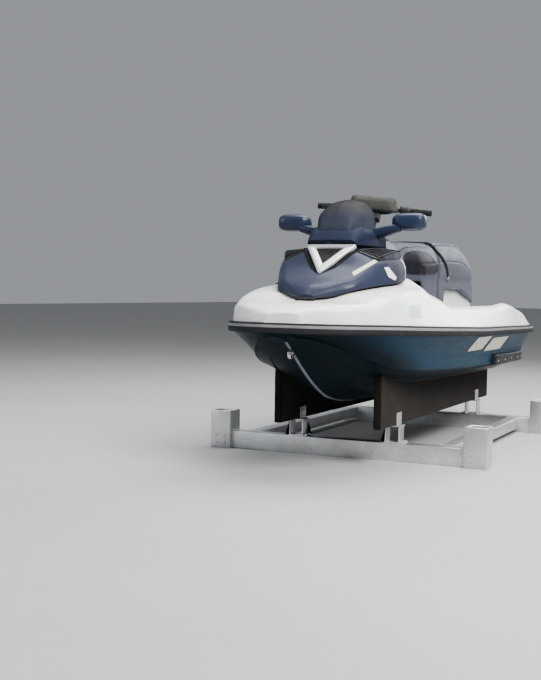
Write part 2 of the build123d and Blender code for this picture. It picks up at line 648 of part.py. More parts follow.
cap_at = (-408.0, 900.0, 668.0)
cap_dir = Vector(-0.42, 0, 0.9).normalized()
cap_p = at(*cap_at)
fuel_cap = Solid.make_cylinder(44, 40, Plane(origin=cap_p - cap_dir * 22, z_dir=cap_dir))
fuel_cap = cut(fuel_cap, deck)

# ------------------------------------------------------------------ jet drive
jet_pump = rod((0, PUMP_S[0], PUMP_Z), (0, PUMP_S[1], PUMP_Z), PUMP_R)
jet_pump = jet_pump + cone((0, PUMP_S[1], PUMP_Z), (0, OUTLET_S - 36, PUMP_Z), PUMP_R, OUTLET_R)
jet_pump = jet_pump + rod((0, OUTLET_S - 38, PUMP_Z), (0, OUTLET_S, PUMP_Z), OUTLET_R)
flange = box(-TUNNEL_X, TUNNEL_X, PUMP_S[0], PUMP_S[0] + 14, 14, TUNNEL_Z)
jet_pump = jet_pump + flange
for k in (1, -1):
    # ears for the nozzle's pins, above and below
    jet_pump = jet_pump + box(-18, 18, 3020, NOZZLE_PIVOT_S + 16, PUMP_Z + (76 if k > 0 else -86), PUMP_Z + (86 if k > 0 else -76))
    # side arms that carry the reverse gate
    jet_pump = jet_pump + box(min(84 * k, 102 * k), max(84 * k, 102 * k), 3010, GATE_S + 16, PUMP_Z + GATE_DZ - 14, PUMP_Z + GATE_DZ + 14)
    jet_pump = jet_pump + rod((k * 100, GATE_S, PUMP_Z + GATE_DZ), (k * 118, GATE_S, PUMP_Z + GATE_DZ), 8)
core = rod((0, PUMP_S[0] - 2, PUMP_Z), (0, PUMP_S[1] - 30, PUMP_Z), PUMP_BORE)
core = core + cone((0, PUMP_S[1] - 31, PUMP_Z), (0, OUTLET_S - 40, PUMP_Z), PUMP_BORE, OUTLET_BORE)
core = core + rod((0, OUTLET_S - 42, PUMP_Z), (0, OUTLET_S + 2, PUMP_Z), OUTLET_BORE)
jet_pump = jet_pump - core
for k in (1, -1):
    jet_pump = jet_pump - rod((0, NOZZLE_PIVOT_S, PUMP_Z + k * 70), (0, NOZZLE_PIVOT_S, PUMP_Z + k * 92), 8.3)
# stator: a tail cone on five vanes, behind the impeller
vanes = cone((0, 2962, PUMP_Z), (0, 3070, PUMP_Z), 30, 8)
for i in range(5):
    v = box(-3, 3, 2964, 3014, PUMP_Z + 5, PUMP_Z + PUMP_BORE + 2)
    v = v.rotate(Axis(at(0, 0, PUMP_Z), (0, 1, 0)), 72.0 * i)
    vanes = vanes + v
jet_pump = solids_of(jet_pump + vanes)

impeller = rod((0, 2130, PUMP_Z), (0, 2950, PUMP_Z), SHAFT_DRIVE_R) + cone((0, 2846, PUMP_Z), (0, 2950, PUMP_Z), 20, 29)
for i in range(4):
    b = Box(58, 66, 5).moved(Location((29 + 16, 0, 0)))
    b = b.rotate(Axis((0, 0, 0), (1, 0, 0)), 38)
    b = b.rotate(Axis((0, 0, 0), (0, 1, 0)), 90.0 * i)
    impeller = impeller + b.moved(Location(at(0, 2900, PUMP_Z)))
impeller = solids_of(impeller & rod((0, 2100, PUMP_Z), (0, 2990, PUMP_Z), IMPELLER_R))

steering_nozzle = cone((0, NOZZLE_S[0], PUMP_Z), (0, NOZZLE_S[1], PUMP_Z), NOZZLE_R[0], NOZZLE_R[1])
for k in (1, -1):
    steering_nozzle = steering_nozzle + rod((0, NOZZLE_PIVOT_S, PUMP_Z + k * 60), (0, NOZZLE_PIVOT_S, PUMP_Z + k * 86), 8)
steering_nozzle = cut(steering_nozzle, cone((0, NOZZLE_S[0] - 1, PUMP_Z), (0, NOZZLE_S[1] + 1, PUMP_Z), NOZZLE_BORE[0], NOZZLE_BORE[1]))
steering_nozzle = steering_nozzle.rotate(Axis(at(0, NOZZLE_PIVOT_S, PUMP_Z), (0, 0, 1)), NOZZLE_REST)

# reverse gate: a curved bucket on two arms, drawn raised
GATE_UP = (32.0, 112.0)     # degrees from straight aft, raised
gate_z = PUMP_Z + GATE_DZ


def polar(r, deg):
    a = math.radians(deg)
    return (GATE_S + r * math.cos(a), gate_z + r * math.sin(a))


n_arc = 8
outer = [polar(GATE_R[1], lerp(GATE_UP[0], GATE_UP[1], i / n_arc)) for i in range(n_arc + 1)]
inner = [polar(GATE_R[0], lerp(GATE_UP[1], GATE_UP[0], i / n_arc)) for i in range(n_arc + 1)]
bucket = prism([(-GATE_X, s, z) for s, z in outer + inner], (2 * GATE_X, 0, 0))
gate_arm_pts = [polar(24, 200), polar(24, 300), polar(GATE_R[0] + 2, GATE_UP[0]), polar(GATE_R[0] + 2, GATE_UP[1])]
arm_mid = polar(GATE_R[1] - 2, (GATE_UP[0] + GATE_UP[1]) / 2)
arm_profile = [(s, z) for s, z in (polar(20, 190), polar(20, 250), polar(20, 320),
                                   polar(GATE_R[0] + 3, GATE_UP[0]), polar(GATE_R[0] + 3, 60), arm_mid,
                                   polar(GATE_R[0] + 3, 88), polar(GATE_R[0] + 3, GATE_UP[1]))]
reverse_gate = bucket
for k in (1, -1):
    side = prism([(k * 107, s, z) for s, z in arm_profile], (k * 5, 0, 0))
    reverse_gate = reverse_gate + side
for k in (1, -1):
    reverse_gate = reverse_gate - rod((k * 100, GATE_S, gate_z), (k * 125, GATE_S, gate_z), 8.3)
reverse_gate = solids_of(reverse_gate)

ride_plate = box(-TUNNEL_X + 4, TUNNEL_X - 4, 2784, 3226, 3, 13)
grate_bars = [(-92, 2424), (-46, 2424), (0, 2424), (46, 2424), (92, 2424)]   # x, front s
intake_grate = box(-100, 100, 2752, 2780, 3, 15)
for x, s0 in grate_bars:
    intake_grate = intake_grate + box(x - 4, x + 4, 2440, 2756, 3, 13)
intake_grate = intake_grate + box(-100, 100, 2436, 2450, 3, 15)
for k in (1, -1):
    # tabs up into the tunnel's walls
    intake_grate = intake_grate + box(min(100 * k, TUNNEL_X * k), max(100 * k, TUNNEL_X * k), 2752, 2780, 3, 15)
intake_grate = cut(intake_grate, hull)

# ------------------------------------------------------------------ stern fittings
step_hinge = None
for x in (STEP_X[0] - 16, STEP_X[1] + 8):
    lug = box(x, x + 8, HULL_END, STEP_S + 12, STEP_Z - 14, STEP_Z + 14)
    step_hinge = lug if step_hinge is None else step_hinge + lug
step_hinge = step_hinge + box(STEP_X[0] - 16, STEP_X[1] + 16, HULL_END, HULL_END + 6, STEP_Z - 22, STEP_Z + 22)
step_hinge = cut(step_hinge, rod((STEP_X[0] - 30, STEP_S, STEP_Z), (STEP_X[1] + 30, STEP_S, STEP_Z), 7.3))

boarding_step = rod((STEP_X[0] - 16, STEP_S, STEP_Z), (STEP_X[1] + 16, STEP_S, STEP_Z), 7)
for x in (STEP_X[0], STEP_X[1] - 14):
    boarding_step = boarding_step + box(x, x + 14, STEP_S - 8, STEP_S + 8, STEP_Z - 8, STEP_Z + STEP_LEN)
boarding_step = boarding_step + box(STEP_X[0], STEP_X[1], STEP_S - 8, STEP_S + 12, STEP_Z + STEP_LEN - 44, STEP_Z + STEP_LEN)
boarding_step = solids_of(boarding_step)

# towing and lifting eyes
BOW_EYE = (112.0, 317.0)
bow_eye = rod((-8, BOW_EYE[0], BOW_EYE[1]), (8, BOW_EYE[0], BOW_EYE[1]), 25) + \
    prism([(-8, BOW_EYE[0] - 16, BOW_EYE[1] + 19), (-8, BOW_EYE[0] + 16, BOW_EYE[1] - 19), (-8, BOW_EYE[0] + 70, BOW_EYE[1] + 20), (-8, BOW_EYE[0] + 36, BOW_EYE[1] + 62)], (16, 0, 0))
bow_eye = cut(bow_eye, hull, rod((-30, BOW_EYE[0], BOW_EYE[1]), (30, BOW_EYE[0], BOW_EYE[1]), EYE_BORE))

stern_eyes = []
STERN_EYES = [(455.0, 3262.0, 298.0), (-455.0, 3262.0, 298.0), (0.0, 3262.0, 341.0)]   # x, s, z
for x, s, z in STERN_EYES:
    e = rod((x - 7, s, z), (x + 7, s, z), 22) + box(x - 7, x + 7, HULL_END, s, z - 18, z + 18) + \
        box(x - 22, x + 22, HULL_END, HULL_END + 6, z - 26, z + 26)
    stern_eyes.append(cut(e, rod((x - 30, s, z), (x + 30, s, z), EYE_BORE)))
stern_eyes = Compound(stern_eyes)

# ------------------------------------------------------------------ engine
engine = box(-ENGINE_X, ENGINE_X, ENGINE_S[0], ENGINE_S[1], BAY_Z, BAY_Z + ENGINE_H)

# ------------------------------------------------------------------ cradle
board = box(BUNK_X - BUNK_T / 2, BUNK_X + BUNK_T / 2, BUNK_S[0], BUNK_S[1], BUNK_Z0 - ZH, 230)
board = (board - hull)
board = solids_of(board)
board = [b for b in board.solids() if b.bounding_box().min.Z < BUNK_Z0 + 1][0]
bunk_boards = twin(board)

cradle_beams = None
for s in BEAM_S:
    piece = box(-BEAM_X, BEAM_X, s - BEAM_W / 2, s + BEAM_W / 2, -ZH, -ZH + BEAM_H)
    cradle_beams = piece if cradle_beams is None else cradle_beams + piece
for k in (1, -1):
    x0, x1 = sorted((k * 545, k * 625))
    cradle_beams = cradle_beams + box(x0, x1, BEAM_S[0] + BEAM_W / 2 - 1, BEAM_S[1] - BEAM_W / 2 + 1, -ZH + 30, -ZH + BEAM_H)
cradle_beams = solids_of(cradle_beams)

sleeves = []
for s in BEAM_S:
    for k in (1, -1):
        xc = k * (BEAM_X + SLEEVE_OUT / 2)
        b = box(xc - SLEEVE_OUT / 2, xc + SLEEVE_OUT / 2, s - SLEEVE_OUT / 2, s + SLEEVE_OUT / 2, -ZH, -ZH + SLEEVE_H)
        h = box(xc - SLEEVE_IN / 2, xc + SLEEVE_IN / 2, s - SLEEVE_IN / 2, s + SLEEVE_IN / 2, -ZH - 5, -ZH + SLEEVE_H + 5)
        sleeves.append(cut(b, h))
post_sleeves = Compound(sleeves)

brackets = []
for s in BEAM_S:
    for k in (1, -1):
        xc = k * BUNK_X
        foot = box(xc - 70, xc + 70, s - 40, s + 40, -ZH + BEAM_H, -ZH + BEAM_H + 8)
        top = box(xc - 50, xc + 50, s - 40, s + 40, BUNK_Z0 - ZH - 8, BUNK_Z0 - ZH)
        body = foot + top
        for dx in (-44, 36):
            body = body + box(xc + dx, xc + dx + 8, s - 40, s + 40, -ZH + BEAM_H + 7, BUNK_Z0 - ZH - 7)
        for dx in (-BUNK_T / 2 - 6, BUNK_T / 2):
            body = body + box(xc + dx, xc + dx + 6, s - 40, s + 40, BUNK_Z0 - ZH - 1, BUNK_Z0 - ZH + 70)
        brackets.append(solids_of(body))
bunk_brackets = Compound(brackets)

# ------------------------------------------------------------------ write
NODES = dict(
    hull=hull, deck=deck, rub_rail=rub_rail,
    front_hood=front_hood, hood_hinge=hood_hinge, hood_cowl=hood_cowl, hood_vents=hood_vents,
    grille_bezel=grille_bezel, grille_mesh=grille_mesh, windshield=windshield,
    left_mirror=left_mirror, right_mirror=right_mirror, mirror_glass=mirror_glass,
    storage_bin=storage_bin, console=console, glove_box_lid=glove_box_lid, gauge_panel=gauge_panel,
    steering_column=steering_column, shift_lever=shift_lever,
    handlebar=handlebar, handlebar_pad=handlebar_pad, hand_grips=hand_grips,
    switch_box=switch_box, throttle_lever=throttle_lever,
    driver_seat=driver_seat, driver_seat_base=driver_seat_base,
    passenger_seat=passenger_seat, passenger_seat_base=passenger_seat_base,
    seat_strap=seat_strap, grab_handle=grab_handle,
    footwell_mats=footwell_mats, platform_mat=platform_mat, sponsons=sponsons, fuel_cap=fuel_cap,
    jet_pump=jet_pump, impeller=impeller, steering_nozzle=steering_nozzle, reverse_gate=reverse_gate,
    ride_plate=ride_plate, intake_grate=intake_grate,
    step_hinge=step_hinge, boarding_step=boarding_step, bow_eye=bow_eye, stern_eyes=stern_eyes,
    engine=engine,
    bunk_boards=bunk_boards, cradle_beams=cradle_beams, post_sleeves=post_sleeves, bunk_brackets=bunk_brackets,
)
for name, shape in NODES.items():
    save(name, shape)
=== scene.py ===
import bpy
import bmesh
import math
import numpy as np
from mathutils import Matrix, Vector
from mathutils.bvhtree import BVHTree


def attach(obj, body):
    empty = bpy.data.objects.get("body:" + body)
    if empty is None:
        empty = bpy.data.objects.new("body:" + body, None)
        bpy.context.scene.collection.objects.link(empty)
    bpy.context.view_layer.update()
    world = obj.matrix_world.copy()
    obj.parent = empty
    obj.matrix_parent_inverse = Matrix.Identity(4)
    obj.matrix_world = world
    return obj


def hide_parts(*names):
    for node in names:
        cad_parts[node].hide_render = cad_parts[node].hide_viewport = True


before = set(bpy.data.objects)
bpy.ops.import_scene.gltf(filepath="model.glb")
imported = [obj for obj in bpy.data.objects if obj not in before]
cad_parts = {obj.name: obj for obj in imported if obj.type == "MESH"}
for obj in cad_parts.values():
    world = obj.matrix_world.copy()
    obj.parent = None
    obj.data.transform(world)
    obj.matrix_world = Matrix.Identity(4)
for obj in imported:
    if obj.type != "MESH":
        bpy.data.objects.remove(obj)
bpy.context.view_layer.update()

# ------------------------------------------------------------------ frame
# Tables are in the craft's own millimetres: x from the centreline to port, s aft
# of the bow tip, z above the keel. P() turns them into metres in the shared frame.
LENGTH, ZH = 3310.0, 300.0
HALF = LENGTH / 2


def P(x, s, z):
    return (x / 1000.0, (s - HALF) / 1000.0, (z + ZH) / 1000.0)


# ------------------------------------------------------------------ tables
RAIL_OUT, RAIL_UP, RAIL_DOWN = 24.0, 26.0, 28.0
# s, half-beam, gunwale z, keel z, chine x, chine z, topside crease x, crease z
HULL = [
    (12, 118, 450, 398, 60, 406, 100, 414),
    (60, 222, 449, 372, 128, 396, 190, 411),
    (140, 326, 448, 318, 200, 367, 282, 403),
    (260, 408, 446, 236, 268, 322, 352, 382),
    (420, 468, 442, 142, 332, 275, 406, 356),
    (620, 514, 436, 60, 386, 232, 446, 331),
    (900, 550, 428, 18, 430, 200, 478, 311),
    (1320, 576, 417, 2, 462, 181, 500, 294),
    (1700, 584, 407, 0, 476, 170, 507, 284),
    (2300, 581, 399, 0, 482, 162, 508, 274),
    (2940, 559, 388, 0, 477, 156, 496, 263),
    (3230, 540, 385, 0, 468, 154, 484, 258),
    (3298, 532, 383, 0, 464, 154, 480, 257),
]
# s, shoulder x z, footwell lip x z, floor out x z, floor in x z, pedestal edge x z, centre z
DECK = [
    (12, 96, 521, 74, 526, 55, 528, 40, 529, 20, 529, 530),
    (60, 200, 540, 162, 549, 120, 553, 80, 555, 40, 556, 556),
    (140, 300, 556, 254, 569, 200, 573, 130, 575, 60, 575, 575),
    (260, 392, 556, 342, 581, 255, 585, 160, 585, 80, 583, 582),
    (345, 414, 580, 356, 602, 260, 604, 170, 597, 80, 593, 591),
    (420, 428, 600, 368, 620, 262, 628, 180, 629, 80, 616, 612),
    (620, 441, 640, 372, 655, 300, 660, 200, 660, 80, 660, 660),
    (765, 446, 650, 358, 675, 305, 678, 205, 678, 120, 678, 678),
    (882, 450, 652, 350, 695, 312, 695, 212, 695, 150, 695, 695),
    (900, 451, 650, 348, 712, 318, 712, 215, 706, 150, 706, 706),
    (1010, 458, 624, 358, 664, 335, 610, 235, 600, 205, 700, 705),
    (1160, 472, 590, 390, 628, 365, 470, 235, 450, 200, 690, 695),
    (1320, 500, 548, 432, 570, 418, 385, 235, 380, 198, 684, 690),
    (1700, 512, 545, 455, 563, 438, 370, 235, 370, 197, 680, 684),
    (2300, 508, 545, 452, 560, 430, 370, 235, 370, 197, 680, 684),
    (2660, 505, 558, 450, 576, 425, 375, 235, 375, 195, 680, 684),
    (2756, 502, 553, 449, 570, 421, 386, 234, 386, 194, 680, 684),
    (2784, 501, 551, 448, 568, 420, 390, 233, 392, 190, 500, 508),
    (2960, 495, 530, 445, 545, 412, 418, 230, 422, 190, 430, 432),
    (3230, 488, 488, 460, 492, 415, 428, 230, 430, 100, 432, 432),
    (3298, 484, 465, 465, 468, 420, 428, 200, 430, 100, 430, 430),
]
# s, edge x z, side x z, lobe x z, top x z, centre z
HOOD = [
    (292, 30, 596, 32, 606, 25, 615, 12, 619, 620),
    (345, 108, 605, 112, 626, 100, 648, 50, 662, 665),
    (420, 215, 640, 215, 664, 185, 694, 80, 700, 702),
    (515, 262, 658, 258, 700, 230, 745, 70, 765, 768),
    (620, 306, 672, 304, 735, 280, 795, 140, 855, 860),
    (765, 352, 688, 352, 752, 332, 812, 185, 872, 880),
    (880, 340, 703, 345, 765, 322, 818, 195, 874, 880),
]
# s, base x z, side x z, top x z, centre z
COWL = [
    (604, 128, 884, 130, 892, 120, 899, 902),
    (665, 150, 884, 150, 930, 120, 962, 972),
    (730, 165, 884, 162, 955, 135, 990, 1000),
    (1000, 185, 884, 182, 950, 155, 985, 996),
]
SCREEN = [
    (664, 90, 930, 86, 968, 50, 979, 983),
    (690, 104, 930, 95, 1018, 56, 1040, 1047),
    (770, 144, 930, 134, 1060, 75, 1104, 1114),
    (880, 166, 930, 154, 1080, 90, 1137, 1149),
]
CONSOLE = [
    (890, 270, 700, 266, 800, 150, 866, 872),
    (1004, 226, 692, 232, 800, 150, 872, 876),
    (1012, 222, 690, 228, 800, 160, 925, 935),
    (1160, 198, 684, 212, 800, 160, 930, 940),
    (1300, 184, 680, 200, 795, 142, 905, 915),
    (1395, 150, 680, 168, 780, 112, 850, 858),
]
# s, base x, side x z, top edge x z, centre z
SEAT_Z0 = 706.0
DRIVER = [
    (1402, 150, 160, 800, 118, 882, 892),
    (1480, 182, 194, 820, 152, 914, 926),
    (1556, 222, 226, 828, 164, 921, 933),
    (1640, 230, 236, 834, 176, 927, 939),
    (1800, 234, 240, 842, 186, 934, 946),
    (1864, 234, 241, 848, 188, 940, 952),
]
PASSENGER = [
    (1874, 234, 241, 850, 188, 944, 956),
    (2010, 234, 240, 856, 190, 954, 966),
    (2182, 232, 240, 860, 192, 961, 972),
    (2426, 230, 236, 856, 192, 963, 974),
    (2504, 228, 232, 848, 190, 948, 960),
    (2666, 222, 224, 815, 188, 899, 910),
    (2776, 216, 215, 778, 188, 838, 848),
    (2814, 206, 206, 745, 182, 806, 814),
]


class Rows:
    """A table whose columns run smoothly, without overshoot, between its rows."""

    def __init__(self, rows):
        a = np.array(rows, float)
        self.s = a[:, 0]
        self.cols = a[:, 1:]
        h = np.diff(self.s)
        d = np.diff(self.cols, axis=0) / h[:, None]
        m = np.zeros_like(self.cols)
        m[0], m[-1] = d[0], d[-1]
        for i in range(1, len(self.s) - 1):
            w1, w2 = 2 * h[i] + h[i - 1], h[i] + 2 * h[i - 1]
            ok = d[i - 1] * d[i] > 0
            safe0 = np.where(ok, d[i - 1], 1.0)
            safe1 = np.where(ok, d[i], 1.0)
            m[i] = np.where(ok, (w1 + w2) / (w1 / safe0 + w2 / safe1), 0.0)
        self.m = m

    def at(self, s):
        s = min(max(s, self.s[0]), self.s[-1])
        i = min(max(int(np.searchsorted(self.s, s)) - 1, 0), len(self.s) - 2)
        h = self.s[i + 1] - self.s[i]
        t = (s - self.s[i]) / h
        a = (1 + 2 * t) * (1 - t) ** 2
        b = t * (1 - t) ** 2
        c = t * t * (3 - 2 * t)
        e = t * t * (t - 1)
        return a * self.cols[i] + b * h * self.m[i] + c * self.cols[i + 1] + e * h * self.m[i + 1]


hull_at, deck_at, hood_at, cowl_at = Rows(HULL).at, Rows(DECK).at, Rows(HOOD).at, Rows(COWL).at
screen_at, console_at, driver_at, passenger_at = Rows(SCREEN).at, Rows(CONSOLE).at, Rows(DRIVER).at, Rows(PASSENGER).at


# ------------------------------------------------------------------ mesh tools
def lerp(a, b, t):
    return a + (b - a) * t


def soft_line(pts, radii, spans, arc=6):
    """An open line through pts with rounded corners; radii are tangent lengths.
    spans gives how many pieces each straight run has, so every ring matches."""
    pts = [np.array(p, float) for p in pts]
    out = [pts[0]]
    last = pts[0]
    for i in range(1, len(pts) - 1):
        a, b, c = pts[i - 1], pts[i], pts[i + 1]
        la, lc = np.linalg.norm(b - a) + 1e-9, np.linalg.norm(c - b) + 1e-9
        r = min(radii[i], 0.46 * la, 0.46 * lc)
        p0, p1 = b + (a - b) / la * r, b + (c - b) / lc * r
        for k in range(1, spans[i - 1] + 1):
            out.append(last + (p0 - last) * (k / spans[i - 1]))
        for k in range(1, arc + 1):
            t = k / arc
            out.append((1 - t) ** 2 * p0 + 2 * t * (1 - t) * b + t * t * p1)
        last = p1
    for k in range(1, spans[-1] + 1):
        out.append(last + (pts[-1] - last) * (k / spans[-1]))
    return [tuple(p) for p in out]


def loop_of(half):
    """Closed section from its port half, first and last points on the centreline."""
    return list(half) + [(-x, z) for x, z in reversed(half[1:-1])]


def steps(*plan):
    """steps(start, (end, step), (end, step)...) -> station list."""
    s = plan[0]
    out = [s]
    for end, step in plan[1:]:
        n = max(1, int(round((end - s) / step)))
        out += [s + (end - s) * (i + 1) / n for i in range(n)]
        s = end
    return out


def new_object(name, mesh):
    o = bpy.data.objects.new(name, mesh)
    bpy.context.scene.collection.objects.link(o)
    return o


def mesh_from(name, verts, faces):
    me = bpy.data.meshes.new(name)
    me.from_pydata([tuple(v) for v in verts], [], faces)
    me.update()
    return new_object(name, me)


def tidy(o, merge=1e-6):
    bm = bmesh.new()
    bm.from_mesh(o.data)
    bmesh.ops.remove_doubles(bm, verts=bm.verts, dist=merge)
    bmesh.ops.dissolve_degenerate(bm, edges=bm.edges, dist=1e-7)
    bmesh.ops.recalc_face_normals(bm, faces=bm.faces)
    bm.to_mesh(o.data)
    bm.free()
    o.data.update()
    return o


def shade(o, angle=35.0):
    o.data.shade_smooth()
    o.data.set_sharp_from_angle(angle=math.radians(angle))
    return o


def loft(name, rings, closed=True, caps=True, angle=35.0):
    """Skin over rings of 3-D points, all the same length."""
    n = len(rings[0])
    verts = [p for r in rings for p in r]
    faces = []
    for i in range(len(rings) - 1):
        for j in range(n if closed else n - 1):
            k = (j + 1) % n
            faces.append((i * n + j, i * n + k, (i + 1) * n + k, (i + 1) * n + j))
    if caps and closed:
        faces.append(tuple(range(n - 1, -1, -1)))
        faces.append(tuple((len(rings) - 1) * n + j for j in range(n)))
    o = mesh_from(name, verts, faces)
    tidy(o)
    return shade(o, angle)


def bake_mods(o):
    dg = bpy.context.evaluated_depsgraph_get()
    me = bpy.data.meshes.new_from_object(o.evaluated_get(dg))
    o.modifiers.clear()
    old = o.data
    o.data = me
    me.name = o.name
    bpy.data.meshes.remove(old)
    return o


def drop(*objs):
    for o in objs:
        bpy.data.objects.remove(o, do_unlink=True)


def carve(o, *cutters, op="DIFFERENCE", keep=False):
    for c in cutters:
        whole = o.data.copy()
        for solver in ("MANIFOLD", "EXACT"):
            m = o.modifiers.new("cut", "BOOLEAN")
            m.operation = op
            m.solver = solver
            m.object = c
            bpy.context.view_layer.update()
            bake_mods(o)
            if len(o.data.polygons) > 3:
                bpy.data.meshes.remove(whole)
                break
            o.data = whole.copy()
        if o.data.materials and not any(o.data.materials):
            o.data.materials.clear()
            o.data.polygons.foreach_set("material_index", [0] * len(o.data.polygons))
    if not keep:
        drop(*cutters)
    return o


def block(name, x0, x1, s0, s1, z0, z1):
    v = [P(x, s, z) for x in (x0, x1) for s in (s0, s1) for z in (z0, z1)]
    f = [(0, 1, 3, 2), (4, 6, 7, 5), (0, 4, 5, 1), (2, 3, 7, 6), (0, 2, 6, 4), (1, 5, 7, 3)]
    return tidy(mesh_from(name, v, f))


def join(name, objs):
    """One object from several, their meshes put together."""
    bm = bmesh.new()
    mats = []
    for o in objs:
        base = []
        for m in o.data.materials:
            if m not in mats:
                mats.append(m)
            base.append(mats.index(m))
        start = len(bm.faces)
        tmp = o.data.copy()
        tmp.transform(o.matrix_world)
        bm.from_mesh(tmp)
        bm.faces.ensure_lookup_table()
        for f in bm.faces[start:]:
            f.material_index = base[f.material_index] if base else 0
        bpy.data.meshes.remove(tmp)
    me = bpy.data.meshes.new(name)
    bm.to_mesh(me)
    bm.free()
    drop(*objs)
    o = new_object(name, me)
    for m in mats:
        me.materials.append(m)
    return o


def bevelled(o, width, segments=2, angle=30.0, shade_angle=40.0):
    m = o.modifiers.new("bevel", "BEVEL")
    m.width = width
    m.segments = segments
    m.limit_method = "ANGLE"
    m.angle_limit = math.radians(angle)
    m.use_clamp_overlap = True
    bake_mods(o)
    return shade(o, shade_angle)


def from_cad(node, name, bevel=0.0015, segments=2, angle=30.0):
    """A finished copy of a CAD node: flat faces made whole, edges rounded."""
    o = new_object(name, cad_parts[node].data.copy())
    o.data.materials.clear()
    bm = bmesh.new()
    bm.from_mesh(o.data)
    bmesh.ops.remove_doubles(bm, verts=bm.verts, dist=1e-5)
    bmesh.ops.dissolve_limit(bm, angle_limit=math.radians(0.5), verts=bm.verts, edges=bm.edges)
    bmesh.ops.recalc_face_normals(bm, faces=bm.faces)
    bm.to_mesh(o.data)
    bm.free()
    if bevel:
        bevelled(o, bevel, segments, angle)
    else:
        shade(o)
    return o


def tube(name, path, radius, sides=16, cap=True, radii=None):
    """Round bar along a 3-D path in metres."""
    path = [Vector(p) for p in path]
    rings = []
    up = None
    for i, p in enumerate(path):
        a = path[max(i - 1, 0)]
        b = path[min(i + 1, len(path) - 1)]
        d = (b - a).normalized()
        if up is None:
            up = Vector((0, 0, 1)) if abs(d.z) < 0.9 else Vector((1, 0, 0))
        u = (up - d * up.dot(d)).normalized()
        v = d.cross(u)
        up = u
        r = radii[i] if radii else radius
        rings.append([tuple(p + (u * math.cos(2 * math.pi * k / sides) + v * math.sin(2 * math.pi * k / sides)) * r)
                      for k in range(sides)])
    return loft(name, rings, True, cap, 50.0)


def curve_points(ctrl, per=8):
    """Smooth line through control points (Catmull-Rom)."""
    c = [np.array(p, float) for p in ctrl]
    c = [2 * c[0] - c[1]] + c + [2 * c[-1] - c[-2]]
    out = []
    for i in range(1, len(c) - 2):
        for k in range(per):
            t = k / per
            out.append(0.5 * ((2 * c[i]) + (c[i + 1] - c[i - 1]) * t + (2 * c[i - 1] - 5 * c[i] + 4 * c[i + 1] - c[i + 2]) * t * t
                              + (3 * c[i] - c[i - 1] - 3 * c[i + 1] + c[i + 2]) * t ** 3))
    out.append(c[-2])
    return out


def bvh_of(*objs):
    verts, polys = [], []
    for o in objs:
        n = len(verts)
        verts += [o.matrix_world @ v.co for v in o.data.vertices]
        polys += [tuple(n + i for i in p.vertices) for p in o.data.polygons]
    return BVHTree.FromPolygons(verts, polys)


def ridge(name, tree, line, width, height, closed=False, sink=0.0006, sides=5):
    """A low rounded bead that follows line over the surface in tree."""
    rings = []
    pts = [Vector(p) for p in line]
    for i, p in enumerate(pts):
        a, b = pts[i - 1] if (i or closed) else pts[0], pts[(i + 1) % len(pts)] if (i < len(pts) - 1 or closed) else pts[-1]
        d = (b - a).normalized()
        loc, nor, _, _ = tree.find_nearest(p)
        side = nor.cross(d).normalized()
        ring = []
        for k in range(sides):
            t = math.pi * k / (sides - 1)
            ring.append(tuple(loc + side * (math.cos(t) * width / 2) + nor * (math.sin(t) * height - sink)))
        rings.append(ring)
    if closed:
        rings.append(rings[0])
    return loft(name, rings, True, not closed, 60.0)


def decal(name, tree, outline, direction, place, step=0.008, lift=0.0006, thick=0.0008):
    """A thin patch on a surface: outline is a 2-D polygon, place(u, v) gives a point
    off the surface, and the patch is dropped onto the surface along direction."""
    pts = np.array(outline, float)
    lo, hi = pts.min(0), pts.max(0)
    bm = bmesh.new()
    vs = [bm.verts.new((p[0], p[1], 0)) for p in pts]
    bm.faces.new(vs)
    k = lo[0] + step
    while k < hi[0]:
        g = bm.verts[:] + bm.edges[:] + bm.faces[:]
        bmesh.ops.bisect_plane(bm, geom=g, plane_co=(k, 0, 0), plane_no=(1, 0, 0))
        k += step
    k = lo[1] + step
    while k < hi[1]:
        g = bm.verts[:] + bm.edges[:] + bm.faces[:]
        bmesh.ops.bisect_plane(bm, geom=g, plane_co=(0, k, 0), plane_no=(0, 1, 0))
        k += step
    d = Vector(direction).normalized()
    bad = []
    normals = {}
    for v in bm.verts:
        start = Vector(place(v.co.x, v.co.y))
        loc, nor, _, _ = tree.ray_cast(start, d)
        if loc is None:
            bad.append(v)
            continue
        if nor.dot(d) > 0:
            nor = -nor
        v.co = loc + nor * lift
        normals[v] = nor
    if bad:
        bmesh.ops.delete(bm, geom=bad, context="VERTS")
    bmesh.ops.recalc_face_normals(bm, faces=bm.faces)
    top = list(bm.faces)
    if top and top[0].normal.dot(d) > 0:
        bmesh.ops.reverse_faces(bm, faces=top)
    me = bpy.data.meshes.new(name)
    bm.to_mesh(me)
    bm.free()
    o = new_object(name, me)
    m = o.modifiers.new("thick", "SOLIDIFY")
    m.thickness = thick
    m.offset = 1.0
    bake_mods(o)
    return shade(o, 40)


